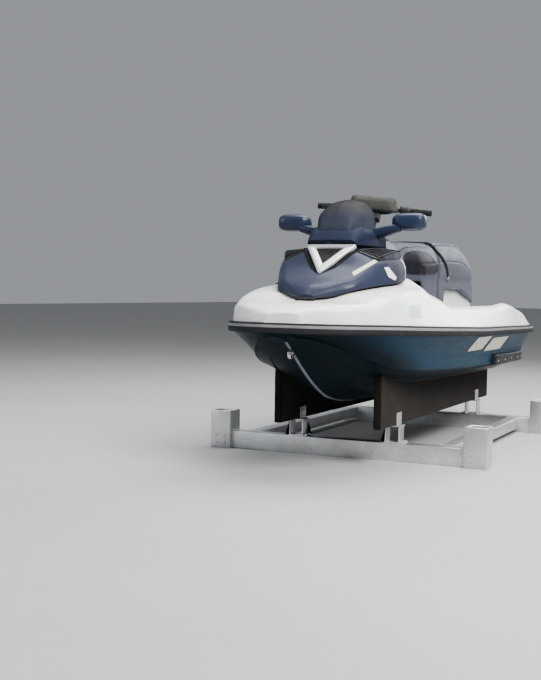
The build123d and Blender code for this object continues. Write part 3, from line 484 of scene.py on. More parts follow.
# ------------------------------------------------------------------ materials
class Mat:
    def __init__(self, name, color, rough=0.4, metal=0.0, **sockets):
        self.m = bpy.data.materials.new(name)
        self.m.use_nodes = True
        self.nt = self.m.node_tree
        self.b = self.nt.nodes["Principled BSDF"]
        self.color, self.rough = color, rough
        self.b.inputs["Base Color"].default_value = (*color, 1)
        self.b.inputs["Roughness"].default_value = rough
        self.b.inputs["Metallic"].default_value = metal
        for k, v in sockets.items():
            self.b.inputs[k.replace("_", " ")].default_value = v
        self.tc = self.nt.nodes.new("ShaderNodeTexCoord")
        self.h = None

    def _n(self, kind, **kw):
        n = self.nt.nodes.new(kind)
        for k, v in kw.items():
            if k in n.inputs.keys():
                n.inputs[k].default_value = v
            else:
                setattr(n, k, v)
        return n

    def space(self, stretch=(1, 1, 1), rot=(0, 0, 0)):
        n = self._n("ShaderNodeMapping")
        n.inputs["Scale"].default_value = stretch
        n.inputs["Rotation"].default_value = rot
        self.nt.links.new(self.tc.outputs["Object"], n.inputs["Vector"])
        return n.outputs["Vector"]

    def noise(self, scale, detail=4.0, rough=0.55, stretch=(1, 1, 1), distort=0.0, rot=(0, 0, 0)):
        n = self._n("ShaderNodeTexNoise")
        n.inputs["Scale"].default_value = scale
        n.inputs["Detail"].default_value = detail
        n.inputs["Roughness"].default_value = rough
        n.inputs["Distortion"].default_value = distort
        self.nt.links.new(self.space(stretch, rot), n.inputs["Vector"])
        return n.outputs["Fac"]

    def cells(self, scale, feature="F1", out="Distance", stretch=(1, 1, 1), rand=1.0):
        n = self._n("ShaderNodeTexVoronoi", feature=feature)
        n.inputs["Scale"].default_value = scale
        n.inputs["Randomness"].default_value = rand
        self.nt.links.new(self.space(stretch), n.inputs["Vector"])
        return n.outputs[out]

    def wave(self, scale, stretch=(1, 1, 1), distort=0.0, axis="X", rot=(0, 0, 0)):
        n = self._n("ShaderNodeTexWave", bands_direction=axis)
        n.inputs["Scale"].default_value = scale
        n.inputs["Distortion"].default_value = distort
        self.nt.links.new(self.space(stretch, rot), n.inputs["Vector"])
        return n.outputs["Fac"]

    def ramp(self, fac, *stops):
        n = self._n("ShaderNodeValToRGB")
        e = n.color_ramp.elements
        while len(e) < len(stops):
            e.new(0.5)
        for el, (p, c) in zip(e, stops):
            el.position = p
            el.color = (*c, 1) if hasattr(c, "__len__") else (c, c, c, 1)
        self.nt.links.new(fac, n.inputs["Fac"])
        return n.outputs["Color"]

    def fit(self, fac, a, b, lo=0.3, hi=0.7):
        n = self._n("ShaderNodeMapRange")
        n.inputs["From Min"].default_value = lo
        n.inputs["From Max"].default_value = hi
        n.inputs["To Min"].default_value = a
        n.inputs["To Max"].default_value = b
        self.nt.links.new(fac, n.inputs["Value"])
        return n.outputs["Result"]

    def mul(self, a, b, op="MULTIPLY"):
        n = self._n("ShaderNodeMath", operation=op)
        self.nt.links.new(a, n.inputs[0])
        if hasattr(b, "node"):
            self.nt.links.new(b, n.inputs[1])
        else:
            n.inputs[1].default_value = b
        return n.outputs[0]

    def mix(self, fac, a, b):
        n = self._n("ShaderNodeMix", data_type="RGBA")
        if hasattr(fac, "node"):
            self.nt.links.new(fac, n.inputs["Factor"])
        else:
            n.inputs["Factor"].default_value = fac
        for sock, v in ((n.inputs[6], a), (n.inputs[7], b)):
            if hasattr(v, "node"):
                self.nt.links.new(v, sock)
            else:
                sock.default_value = (*v, 1)
        return n.outputs[2]

    def height(self):
        """Which way is up on the object, 0 below to 1 above."""
        g = self._n("ShaderNodeSeparateXYZ")
        self.nt.links.new(self.tc.outputs["Object"], g.inputs[0])
        return g.outputs["Z"]

    def axis(self, k):
        g = self._n("ShaderNodeSeparateXYZ")
        self.nt.links.new(self.tc.outputs["Object"], g.inputs[0])
        return g.outputs[k]

    def bump(self, fac, strength=0.2, dist=0.001):
        n = self._n("ShaderNodeBump")
        n.inputs["Strength"].default_value = strength
        n.inputs["Distance"].default_value = dist
        self.nt.links.new(fac, n.inputs["Height"])
        if self.h is not None:
            self.nt.links.new(self.h, n.inputs["Normal"])
        self.h = n.outputs["Normal"]
        self.nt.links.new(self.h, self.b.inputs["Normal"])

    def use_color(self, c):
        self.nt.links.new(c, self.b.inputs["Base Color"])

    def use_rough(self, r):
        self.nt.links.new(r, self.b.inputs["Roughness"])


def shift(c, k):
    return tuple(max(0.0, min(1.0, v * k)) for v in c)


def gelcoat(name, color, flake=0.0, rough=0.28, dirt=(0.30, 0.27, 0.22), grime=0.25, metal=0.0, coat=0.4, spec=0.45, wear=1.0, low=None):
    """Glossy moulded gelcoat: slow colour drift, faint orange peel, fine scuffs, water marks."""
    m = Mat(name, color, rough, metal, Coat_Weight=coat, Coat_Roughness=0.10, Coat_IOR=1.45, Specular_IOR_Level=spec)
    slow = m.noise(2.2, 3, 0.5)
    base = m.ramp(slow, (0.3, shift(color, 0.95)), (0.7, shift(color, 1.04)))
    if flake:
        f = m.cells(1500, "F1", "Color")
        g = m._n("ShaderNodeSeparateColor")
        m.nt.links.new(f, g.inputs[0])
        fl = m.fit(g.outputs[0], 0.0, flake, 0.55, 1.0)
        base = m.mix(fl, base, shift(color, 2.4))
    # water marks run down the sides
    runs = m.noise(26, 5, 0.6, stretch=(1, 1, 0.12), distort=0.4)
    marks = m.fit(runs, 0.0, grime * wear, 0.56, 0.78)
    base = m.mix(marks, base, tuple(c * 0.55 + d * 0.35 for c, d in zip(color, dirt)))
    spots = m.cells(70, "F1", "Distance")
    sp = m.fit(spots, grime * 0.5 * wear, 0.0, 0.05, 0.16)
    base = m.mix(sp, base, shift(color, 0.86))
    if low:
        # the darker bottom colour covers the hull below the chine; towards the bow it sweeps up to the rail as painted
        # shade standing for the bow's shadowed front
        f = None
        for ny, d, w in ((0.0236, P(0, 900, 208)[2] + 0.0236 * P(0, 900, 0)[1], 0.010), (0.292, P(0, 60, 462)[2] + 0.292 * P(0, 60, 0)[1], 0.045)):
            n = m._n("ShaderNodeVectorMath", operation="DOT_PRODUCT")
            m.nt.links.new(m.tc.outputs["Object"], n.inputs[0])
            n.inputs[1].default_value = (0, ny, 1)
            g = m.fit(n.outputs["Value"], 0.0, 1.0, d - w, d + w)
            f = g if f is None else m.mul(f, g)
        base = m.mix(f, m.ramp(slow, (0.3, shift(low, 0.9)), (0.7, shift(low, 1.1))), base)
    m.use_color(base)
    scuff = m.noise(38, 6, 0.7, stretch=(1, 0.18, 1))
    m.use_rough(m.fit(scuff, rough * (1 - 0.25 * wear), rough * (1 + 0.5 * wear), 0.35, 0.72))
    m.bump(m.noise(420, 2, 0.5), 0.035, 0.0004)
    m.bump(m.noise(900, 3, 0.7, stretch=(1, 0.03, 1)), 0.03, 0.0002)
    return m.m


def moulded(name, color, rough=0.55, grain=900, depth=0.35, wear=0.12):
    """Grained moulded plastic with a dusty, slightly sun-faded face."""
    m = Mat(name, color, rough, Specular_IOR_Level=0.4)
    slow = m.noise(5, 4, 0.55)
    base = m.ramp(slow, (0.32, shift(color, 0.86)), (0.68, shift(color, 1.16)))
    dust = m.fit(m.noise(60, 6, 0.7), 0.0, wear, 0.5, 0.75)
    base = m.mix(dust, base, (0.42, 0.41, 0.39))
    m.use_color(base)
    m.use_rough(m.fit(m.noise(24, 5, 0.6), rough * 0.85, min(1.0, rough * 1.25), 0.3, 0.7))
    m.bump(m.cells(grain, "SMOOTH_F1", "Distance"), depth, 0.0003)
    m.bump(m.noise(120, 4, 0.6), 0.08, 0.0006)
    return m.m


def rubber(name, color, rough=0.72):
    m = Mat(name, color, rough, Specular_IOR_Level=0.3)
    base = m.ramp(m.noise(9, 5, 0.6), (0.3, shift(color, 0.8)), (0.7, shift(color, 1.35)))
    scuff = m.fit(m.noise(30, 6, 0.72, stretch=(1, 0.12, 1)), 0.0, 0.3, 0.58, 0.78)
    base = m.mix(scuff, base, (0.20, 0.20, 0.20))
    m.use_color(base)
    m.use_rough(m.fit(m.noise(45, 4, 0.6), rough * 0.85, min(1, rough * 1.15), 0.3, 0.7))
    m.bump(m.noise(700, 3, 0.6), 0.25, 0.0003)
    m.bump(m.noise(60, 3, 0.5), 0.1, 0.0006)
    return m.m


def vinyl(name, color, rough=0.46, grain=620, sheen=0.12, spec=0.45):
    """Marine vinyl: pebble grain, soft creases, a light sheen."""
    m = Mat(name, color, rough, Specular_IOR_Level=spec, Sheen_Weight=sheen, Sheen_Roughness=0.45)
    slow = m.noise(4.5, 4, 0.55)
    base = m.ramp(slow, (0.3, shift(color, 0.88)), (0.7, shift(color, 1.1)))
    grime = m.fit(m.noise(34, 6, 0.7), 0.0, 0.22, 0.52, 0.76)
    base = m.mix(grime, base, shift(color, 0.66))
    cells = m.cells(grain, "DISTANCE_TO_EDGE", "Distance")
    crack = m.fit(cells, 0.22, 0.0, 0.0, 0.10)
    base = m.mix(crack, base, shift(color, 0.62))
    m.use_color(base)
    m.use_rough(m.fit(m.noise(16, 4, 0.6), rough * 0.82, rough * 1.25, 0.3, 0.7))
    m.bump(m.fit(cells, 0.0, 1.0, 0.0, 0.22), 0.3, 0.0003)
    m.bump(m.noise(26, 4, 0.6, distort=1.2), 0.12, 0.002)
    return m.m


def metal(name, color, rough=0.32, brush=(1, 1, 1), scale=500, stain=0.2, metallic=1.0):
    m = Mat(name, color, rough, metallic)
    base = m.ramp(m.noise(7, 5, 0.6), (0.3, shift(color, 0.84)), (0.7, shift(color, 1.08)))
    st = m.fit(m.noise(40, 6, 0.7), 0.0, stain, 0.52, 0.74)
    base = m.mix(st, base, shift(color, 0.45))
    m.use_color(base)
    br = m.noise(scale, 3, 0.6, stretch=brush)
    m.use_rough(m.fit(br, rough * 0.7, min(1.0, rough * 1.6), 0.3, 0.7))
    m.bump(br, 0.12, 0.0003)
    return m.m


def cast(name, color, rough=0.5):
    m = Mat(name, color, rough, 0.35, Specular_IOR_Level=0.5)
    base = m.ramp(m.noise(14, 6, 0.65), (0.3, shift(color, 0.78)), (0.7, shift(color, 1.14)))
    st = m.fit(m.noise(50, 7, 0.7, stretch=(1, 1, 0.4)), 0.0, 0.5, 0.52, 0.74)
    base = m.mix(st, base, (0.16, 0.15, 0.12))
    m.use_color(base)
    m.use_rough(m.fit(m.noise(32, 5, 0.6), rough * 0.8, min(1, rough * 1.4), 0.3, 0.7))
    m.bump(m.noise(340, 5, 0.7), 0.3, 0.0006)
    return m.m


def carpet(name, color):
    m = Mat(name, color, 0.95, Sheen_Weight=0.08, Sheen_Roughness=0.6, Specular_IOR_Level=0.06)
    base = m.ramp(m.noise(650, 4, 0.8), (0.3, shift(color, 0.45)), (0.55, color), (0.75, shift(color, 1.9)))
    wet = m.fit(m.noise(6, 5, 0.6), 0.0, 0.6, 0.42, 0.68)
    base = m.mix(wet, base, shift(color, 0.42))
    silt = m.fit(m.noise(90, 6, 0.75), 0.0, 0.14, 0.55, 0.78)
    base = m.mix(silt, base, (0.20, 0.18, 0.14))
    m.use_color(base)
    m.bump(m.noise(900, 5, 0.8), 1.0, 0.0016)
    m.bump(m.noise(160, 4, 0.7), 0.5, 0.002)
    return m.m


WHITE = gelcoat("white_gelcoat", (0.88, 0.88, 0.865), rough=0.28, grime=0.035, coat=0.25, wear=0.5)
BILGE = moulded("bilge_paint", (0.34, 0.35, 0.36), rough=0.6, grain=300, depth=0.15, wear=0.25)
# its low colour is darker below the chine and, as painted shade, reaches up to the rail at the bow
HULL_BLUE = gelcoat("blue_gelcoat", (0.0125, 0.046, 0.084), flake=0.05, rough=0.40, dirt=(0.03, 0.06, 0.09), grime=0.08, coat=0.0, spec=0.07, wear=0.3, low=(0.0070, 0.0145, 0.0205))
HOOD_BLUE = gelcoat("hood_paint", (0.033, 0.040, 0.069), flake=0.12, rough=0.38, grime=0.08, coat=0.10, spec=0.24, wear=0.5)
COWL_BLUE = gelcoat("cowl_paint", (0.023, 0.029, 0.054), flake=0.08, rough=0.55, grime=0.08, coat=0.0, spec=0.09, wear=0.5)
MIRROR_BLUE = gelcoat("mirror_paint", (0.022, 0.034, 0.066), flake=0.10, rough=0.36, grime=0.06, coat=0.15, spec=0.3, wear=0.5)
SILVER = gelcoat("silver_paint", (0.62, 0.63, 0.65), flake=0.3, rough=0.28, grime=0.12, metal=0.35)
CREAM = gelcoat("cream_tape", (0.60, 0.55, 0.44), rough=0.4, grime=0.15)
BLACK = moulded("black_plastic", (0.020, 0.020, 0.022), rough=0.5)
GREY = moulded("grey_plastic", (0.115, 0.125, 0.150), rough=0.5)
BUMPER = rubber("bumper_rubber", (0.022, 0.022, 0.025))
PIN = moulded("rail_insert", (0.25, 0.245, 0.26), rough=0.45, depth=0.1)
GRIP = rubber("grip_rubber", (0.016, 0.016, 0.017))
FOAM = rubber("mat_foam", (0.075, 0.080, 0.088), rough=0.85)
SEAT = vinyl("seat_vinyl", (0.062, 0.070, 0.099), sheen=0.08, spec=0.38)
SEAT_DARK = vinyl("seat_vinyl_dark", (0.014, 0.014, 0.021), sheen=0.03, spec=0.25)
ALU = metal("mill_aluminium", (0.72, 0.73, 0.74), 0.38, brush=(1, 0.04, 1), scale=420, stain=0.35)
ALU_X = metal("mill_aluminium_cross", (0.72, 0.73, 0.74), 0.38, brush=(0.04, 1, 1), scale=420, stain=0.35)
STEEL = metal("stainless", (0.66, 0.67, 0.68), 0.22, brush=(0.2, 0.2, 1), scale=380, stain=0.15)
CAST = cast("cast_alloy", (0.20, 0.21, 0.22))
CARPET = carpet("bunk_carpet", (0.020, 0.016, 0.0135))


def give(o, mat, body="root", slot=None, replaces=()):
    o.data.materials.clear()
    o.data.materials.append(mat)
    return place(o, body, slot, replaces)


def place(o, body="root", slot=None, replaces=()):
    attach(o, body)
    if replaces:
        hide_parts(*replaces)
    return o


# ------------------------------------------------------------------ hull
def seam(s, hw, zb):
    """Hidden joint between hull and deck, inboard of the gunwale."""
    if s <= 1010:
        return (hw * 0.85, zb - 1.0), (hw * 0.5, zb - 2.0)
    t = min(1.0, (s - 1010) / 120.0)
    if s <= 2900:
        a, b = (hw - 55, zb - 30), (hw - 110, 345.0)
    else:
        a, b = (hw - 55, zb - 10), (hw - 110, 384.0)
    a0, b0 = (hw * 0.85, zb - 1.0), (hw * 0.5, zb - 2.0)
    return (lerp(a0[0], a[0], t), lerp(a0[1], a[1], t)), (lerp(b0[0], b[0], t), lerp(b0[1], b[1], t))


def fade(s, a, b, c, d):
    """0 before a, 1 from b to c, 0 after d."""
    if s <= a or s >= d:
        return 0.0
    if s < b:
        t = (s - a) / (b - a)
    elif s > c:
        t = (d - s) / (d - c)
    else:
        return 1.0
    return t * t * (3 - 2 * t)


def hull_half(s):
    hw, zb, kz, cx, cz, tx, tz = hull_at(s)
    a, b = seam(s, hw, zb)
    k1 = 11 * fade(s, 330, 700, 2950, 3226)
    k2 = 10 * fade(s, 200, 520, 3000, 3228)

    def bottom(t, lift=0.0):
        return (lerp(0, cx, t), lerp(kz, cz, t) - lift)

    pts = [(0, kz), bottom(0.36), bottom(0.40, k1), bottom(0.47), bottom(0.66), bottom(0.70, k2), bottom(0.76),
           bottom(0.955), (cx + 5, cz - 4 + k2 * 0.2), (cx + 3, cz + 9), (tx, tz), (hw - 6, zb - RAIL_DOWN), (hw - 4, zb), a, b, (0, b[1])]
    radii = [0, 3, 2, 3, 3, 2, 3, 8, 3, 5, 14, 4, 3, 4, 4, 0]
    spans = [5, 1, 1, 4, 1, 1, 4, 1, 1, 3, 5, 1, 1, 1, 1]
    return soft_line(pts, radii, spans, 3)


def hull_ring(s, at=None, k=1.0, centre=(0, 470)):
    r = loop_of(hull_half(s))
    if k != 1.0:
        r = [(centre[0] + (x - centre[0]) * k, centre[1] + (z - centre[1]) * k) for x, z in r]
    return [P(x, at if at is not None else s, z) for x, z in r]


S_BOW = steps(12, (60, 3), (140, 5), (420, 9), (1000, 16), (3230, 26))
hull = loft("hull_shell", [hull_ring(12, 6.5, 0.86), hull_ring(12, 8.5, 0.95)] + [hull_ring(s) for s in S_BOW], angle=24)


def wedge(name, rows):
    return loft(name, [[P(x, s, z) for x, z in pts] for s, pts in rows], angle=20)


TX, TZ = 130.0, 285.0


def arch(x, z, r=0.0):
    """Tunnel section: flat roof with rounded shoulders."""
    r = min(60.0, max(z - 20, 4) * 0.5) if z > 30 else 2.0
    half = soft_line([(0, -40), (x, -40), (x, z), (0, z)], [0, 0, r, 0], [1, 1, 1], 6)
    return loop_of(half)


tunnel = wedge("tunnel_cut", [(2400, arch(100, 10)), (2560, arch(112, 110)), (2700, arch(TX, TZ - 20)), (2790, arch(TX, TZ)), (3060, arch(TX, TZ))])
gate_room = loft("gate_cut", [[P(x, s, z) for x, z in loop_of(soft_line([(0, -40), (150, -40), (150, 316), (0, 316)], [0, 0, 26, 0], [1, 1, 1], 5))]
                              for s in (3040, 3260)], angle=20)
bay = block("bay_cut", -165, 165, 1440, 2250, 120, 760)
bin_hole = block("bin_cut", -200, 200, 560, 868, 380, 760)
carve(hull, tunnel, gate_room)
carve(hull, bay, bin_hole, keep=True)
shade(hull, 24)
hull.data.materials.clear()
hull.data.materials.append(HULL_BLUE)
hull.data.materials.append(BILGE)
hull.data.materials.append(BLACK)


def inside(c, x, s0, s1, z0, z1, e=0.5):
    px, ps, pz = c.x * 1000, c.y * 1000 + HALF, c.z * 1000 - ZH
    return abs(px) <= x + e and s0 - e <= ps <= s1 + e and z0 - e <= pz <= z1 + e


for f in hull.data.polygons:
    if inside(f.center, 165, 1440, 2250, 120, 760) or inside(f.center, 200, 560, 868, 380, 760):
        f.material_index = 1
    elif inside(f.center, 150.5, 2500, 3231, -10, 317) and abs(f.center.x) < 0.1495 and f.center.z * 1000 - ZH > 25:
        f.material_index = 2
place(hull, "root", "hull_gelcoat", ("hull",))
hull_tree = bvh_of(hull)


# ------------------------------------------------------------------ deck
def deck_top(s):
    hw, zb, *_ = hull_at(s)
    x2, z2, x3, z3, x4, z4, x5, z5, x6, z6, z7 = deck_at(s)
    pts = [(hw - 4, zb), (hw - 8, zb + RAIL_UP), (x2, z2), (x3, z3), (x4, z4), (x5, z5), (x6, z6), (0, z7)]
    return pts


def deck_half(s):
    hw, zb, *_ = hull_at(s)
    a, b = seam(s, hw, zb)
    pts = [(0, b[1] + 0.5), (b[0], b[1] + 0.5), (a[0], a[1] + 0.5)] + deck_top(s)
    radii = [0, 2, 2, 2, 8, 52, 26, 34, 34, 30, 0]
    spans = [1, 1, 1, 1, 4, 3, 5, 4, 6, 5]
    return soft_line(pts, radii, spans, 6)


def deck_ring(s, at=None, k=1.0, centre=(0, 500)):
    r = loop_of(deck_half(s))
    if k != 1.0:
        r = [(centre[0] + (x - centre[0]) * k, centre[1] + (z - centre[1]) * k) for x, z in r]
    return [P(x, at if at is not None else s, z) for x, z in r]


S_DECK = steps(12, (60, 3), (140, 5), (420, 9), (870, 14), (910, 2.5), (1320, 12), (2740, 26), (2800, 3), (2960, 12), (3298, 22))
deck = loft("deck_moulding", [deck_ring(12, 5.5, 0.87), deck_ring(12, 8, 0.955)] + [deck_ring(s) for s in S_DECK], angle=40)
carve(deck, bay, bin_hole)
shade(deck, 40)
deck.data.materials.clear()
deck.data.materials.append(WHITE)
deck.data.materials.append(BILGE)
for f in deck.data.polygons:
    if inside(f.center, 165, 1440, 2250, 120, 679) or inside(f.center, 200, 560, 868, 380, 655):
        f.material_index = 1
place(deck, "root", "deck_gelcoat", ("deck",))
deck_tree = bvh_of(deck)


# ------------------------------------------------------------------ rub rail
def rail_path():
    """Inner line of the bumper in plan, from the bow's middle down the port side to
    the stern's middle: (x, s, out, z)."""
    pts = [(0.0, 12.0), (40, 12), (80, 12.2), (104, 12.8), (118, 15.5)]
    out = [(x, s) for x, s in pts]
    for s in steps(20, (60, 3.5), (140, 6), (420, 14), (1000, 30), (3270, 40), (3290, 6)):
        out.append((hull_at(s)[0] - 4, s))
    out += [(528, 3295), (524, 3298), (500, 3298), (420, 3298), (300, 3298), (160, 3298), (0, 3298)]
    return [np.array(p, float) for p in out]


def sweep_rail(name, profile, zoff=0.0):
    path = rail_path()
    rings = []
    n = len(path)
    ring_half = []
    for i, p in enumerate(path):
        a, b = path[max(i - 1, 0)], path[min(i + 1, n - 1)]
        if i == 0:
            d = np.array([1.0, 0])
        elif i == n - 1:
            d = np.array([-1.0, 0])
        else:
            d = b - a
        d = d / np.linalg.norm(d)
        nrm = np.array([d[1], -d[0]])
        s = p[1]
        t = min(1.0, max(0.0, (s - 12) / 60.0)) if i < n - 7 else max(0.0, 1 - (i - (n - 7)) / 2.0)
        w = 11.3 + (RAIL_OUT - 0.6 - 11.3) * (t * t * (3 - 2 * t))
        zb = hull_at(s)[1]
        ring = []
        for o, z in profile:
            q = p + nrm * (o * w)
            q[1] = min(max(q[1], 0.4), LENGTH - 0.4)
            ring.append((q[0], q[1], zb + z))
        ring_half.append(ring)
    left = [[(-x, s, z) for x, s, z in r] for r in reversed(ring_half[1:-1])]
    rings = ring_half + left + [ring_half[0]]
    rings3 = [[P(*v) for v in r] for r in rings]
    return loft(name, rings3, True, False, 50)


rail_profile = [(-0.3, -26), (0.45, -27.5), (0.80, -26.5), (0.94, -23), (1.0, -17), (1.0, -5), (0.985, -1), (0.93, 1.2), (0.92, 16.8),
                (0.955, 18.6), (0.93, 20.8), (0.84, 23.4), (0.70, 24.8), (0.4, 25.6), (-0.3, 26)]
rail = sweep_rail("rub_rail_bumper", rail_profile)
give(rail, BUMPER, "root", "bumper_rubber", ("rub_rail",))
pin_profile = [(0.90, 1.8), (0.955, 1.8), (0.975, 3.4), (0.985, 9), (0.962, 14.8), (0.945, 16.2), (0.90, 16.2)]
pin = sweep_rail("rub_rail_pinstripe", pin_profile)
give(pin, PIN, "root", "silver_trim")


# ------------------------------------------------------------------ hood group
def hood_half(s, i=0.0, drop=0.0):
    xb, zb, xm, zm, xh, zh, xt, zt, zc = hood_at(s)
    pts = [(0, zb - drop), (max(xb - i, 4), zb - drop), (max(xm - i, 4), zm - i * 0.3),
           (max(xh - i * 0.8, 3), zh - i * 0.8), (max(xt - i * 0.3, 2), zt - i), (0, zc - i)]
    return soft_line(pts, [0, 4, 46, 30, 40, 0], [2, 3, 4, 4, 6], 6)


def shell_half(row, i=0.0, drop=0.0, radii=(0, 4, 24, 34, 0)):
    xb, zb, xm, zm, xt, zt, zc = row
    pts = [(0, zb - drop), (xb - i, zb - drop), (xm - i, zm - i * 0.3), (xt - i * 0.7, zt - i), (0, zc - i)]
    return soft_line(pts, list(radii), [2, 3, 4, 6], 6)


def section_loft(name, stations, half_of, angle=35):
    return loft(name, [[P(x, s, z) for x, z in loop_of(half_of(s))] for s in stations], angle=angle)


def shrink(half, k, cz):
    return [(x * k, cz + (z - cz) * k) for x, z in half]


HOOD_S = steps(292, (345, 5), (620, 11), (765, 12), (880, 12))


def hood_solid(name):
    return section_loft(name, HOOD_S, hood_half)


def cowl_solid(name):
    return section_loft(name, steps(604, (665, 7), (730, 9), (1000, 30)), lambda s: shell_half(cowl_at(s)))


V_LOW_S, V_LOW_Z, V_TOP_X, V_TOP_S, V_TOP_Z, V_BAR = 452.0, 722.0, 150.0, 640.0, 884.0, 26.0
V_LEN = math.hypot(V_TOP_S - V_LOW_S, V_TOP_Z - V_LOW_Z)
VS, VZ = (V_TOP_S - V_LOW_S) / V_LEN, (V_TOP_Z - V_LOW_Z) / V_LEN


def v_at(x, t, lift):
    return P(x, V_LOW_S + VS * t - VZ * lift, V_LOW_Z + VZ * t + VS * lift)


def v_corners(inset):
    k = V_TOP_X / V_LEN
    low = inset * 1.7 * math.hypot(1, k) / k
    top = V_LEN - inset
    return [(0.0, low), ((top - low) * k, top), (-(top - low) * k, top)]


def round_poly(corners, r, arc=6, span=6):
    """Corners of a polygon rounded to radius r, points evenly counted."""
    n = len(corners)
    out = []
    for i in range(n):
        a, b, c = (np.array(corners[(i + k) % n], float) for k in (-1, 0, 1))
        u, v = (a - b) / np.linalg.norm(a - b), (c - b) / np.linalg.norm(c - b)
        ang = math.acos(max(-1, min(1, float(u.dot(v)))))
        t = min(r / math.tan(ang / 2), 0.45 * np.linalg.norm(a - b), 0.45 * np.linalg.norm(c - b))
        p0, p1 = b + u * t, b + v * t
        for k in range(arc + 1):
            q = k / arc
            out.append((1 - q) ** 2 * p0 + 2 * q * (1 - q) * b + q * q * p1)
        d = np.array(corners[(i + 1) % n], float)
        w = (d - b) / np.linalg.norm(d - b)
        e = np.array(corners[(i + 2) % n], float)
        ang2 = math.acos(max(-1, min(1, float(((b - d) / np.linalg.norm(b - d)).dot((e - d) / np.linalg.norm(e - d))))))
        t2 = min(r / math.tan(ang2 / 2), 0.45 * np.linalg.norm(d - b), 0.45 * np.linalg.norm(e - d))
        p2 = d - w * t2
        for k in range(1, span):
            out.append(p1 + (p2 - p1) * (k / span))
    return [tuple(p) for p in out]


def v_loop(inset, r):
    return round_poly(v_corners(inset), r)


def v_cutter(name):
    loop = v_loop(0.4, 12)
    return loft(name, [[v_at(x, t, lift) for x, t in loop] for lift in (-60, 42)], angle=20)


# hood panel: outer skin, hollow below, the grille's hole, hinge barrel and tongue
hood = hood_solid("front_hood_panel")
hood_in = section_loft("hood_inner", steps(338, (345, 7), (620, 14), (884, 20)), lambda s: hood_half(s, 7.0, 30.0))
carve(hood, hood_in, v_cutter("v_cut"))
shade(hood, 36)
barrel = tube("hood_barrel", [P(-56, 282, 596), P(-55, 282, 596), P(55, 282, 596), P(56, 282, 596)], 0.005, 24, radii=[0.0042, 0.005, 0.005, 0.0042])
tongue = bevelled(block("hood_tongue", -26, 26, 281, 300, 596.5, 602), 0.0016)
hood.data.materials.append(HOOD_BLUE)
barrel.data.materials.append(BLACK)
tongue.data.materials.append(BLACK)
hood_panel_tree = bvh_of(hood)
hood = join("front_hood_panel", [hood, barrel, tongue])
shade(hood, 36)
GREY_PANEL = moulded("grey_panel", (0.040, 0.044, 0.060), rough=0.6, wear=0.05)
# very dark rubber, used for the painted shadow beside the grille and for the hood's rear face
DEEP_BLACK = rubber("deep_black", (0.0045, 0.0045, 0.005), rough=0.8)
CAM_POS = Vector((2.26299, -6.69532, 0.94847))
_d = Vector((-math.sin(0.43213) * math.cos(0.04656), math.cos(0.43213) * math.cos(0.04656), -math.sin(0.04656)))
_r = _d.cross(Vector((0, 0, 1))).normalized()
_u = _r.cross(_d)
CAM_R = math.cos(0.01788) * _r + math.sin(0.01788) * _u
CAM_U = -math.sin(0.01788) * _r + math.cos(0.01788) * _u


def sight(px, py):
    """Line of sight of a place in the frame."""
    return (_d * 1123.06 + CAM_R * (px - 270.5) - CAM_U * (py - 340.0)).normalized()


def split_side(o, mat, a, b, s_from):
    """Give the part of a piece behind the plane through the eye and two places in
    the frame another material, the same on both sides."""
    n = sight(*a).cross(sight(*b)).normalized()
    if n.dot(Vector(P(300, 880, 760)) - CAM_POS) < 0:
        n = -n
    bm = bmesh.new()
    bm.from_mesh(o.data)
    o.data.materials.append(mat)
    idx = len(o.data.materials) - 1
    for sgn in (1, -1):
        pn = Vector((n.x * sgn, n.y, n.z))
        pc = Vector((CAM_POS.x * sgn, CAM_POS.y, CAM_POS.z))
        near = [f for f in bm.faces if f.calc_center_median().x * sgn > 0.08 and f.calc_center_median().y * 1000 + HALF > s_from]
        geom = near + list({e for f in near for e in f.edges}) + list({v for f in near for v in f.verts})
        bmesh.ops.bisect_plane(bm, geom=geom, plane_co=pc, plane_no=pn, dist=1e-6)
        for f in bm.faces:
            c = f.calc_center_median()
            if c.x * sgn > 0.08 and c.y * 1000 + HALF > s_from and (c - pc).dot(pn) > 0:
                f.material_index = idx
    bm.to_mesh(o.data)
    bm.free()


split_side(hood, GREY_PANEL, (383.7, 256.0), (397.4, 282.9), 640)
shade(hood, 36)
place(hood, "hood", "hood_paint", ("front_hood",))

# painted highlight: a silver bead up the hood's rear edge stands for the bright highlight along that edge
edge_highlights = []
for sgn in (1, -1):
    half = hood_half(872)
    line = [Vector(P(sgn * x, 873, z)) for x, z in half if x > 225 and z > 706]
    edge_highlights.append(ridge("bead", hood_panel_tree, line, 0.013, 0.003, sides=9))
HOOD_EDGE_HIGHLIGHT = join("hood_rear_edge_highlight", edge_highlights)
give(HOOD_EDGE_HIGHLIGHT, SILVER, "hood", "silver_trim")

# rear face of the hood, either side of the console
rear_face = section_loft("hood_rear_face", (870.5, 872.0, 874.5), lambda s: hood_half(s, 4.5))
carve(rear_face, section_loft("face_cut", (860, 890), lambda s: shell_half(console_at(890), -8.0, 120, (0, 4, 52, 40, 0))))
give(rear_face, DEEP_BLACK, "hood", "black_plastic")
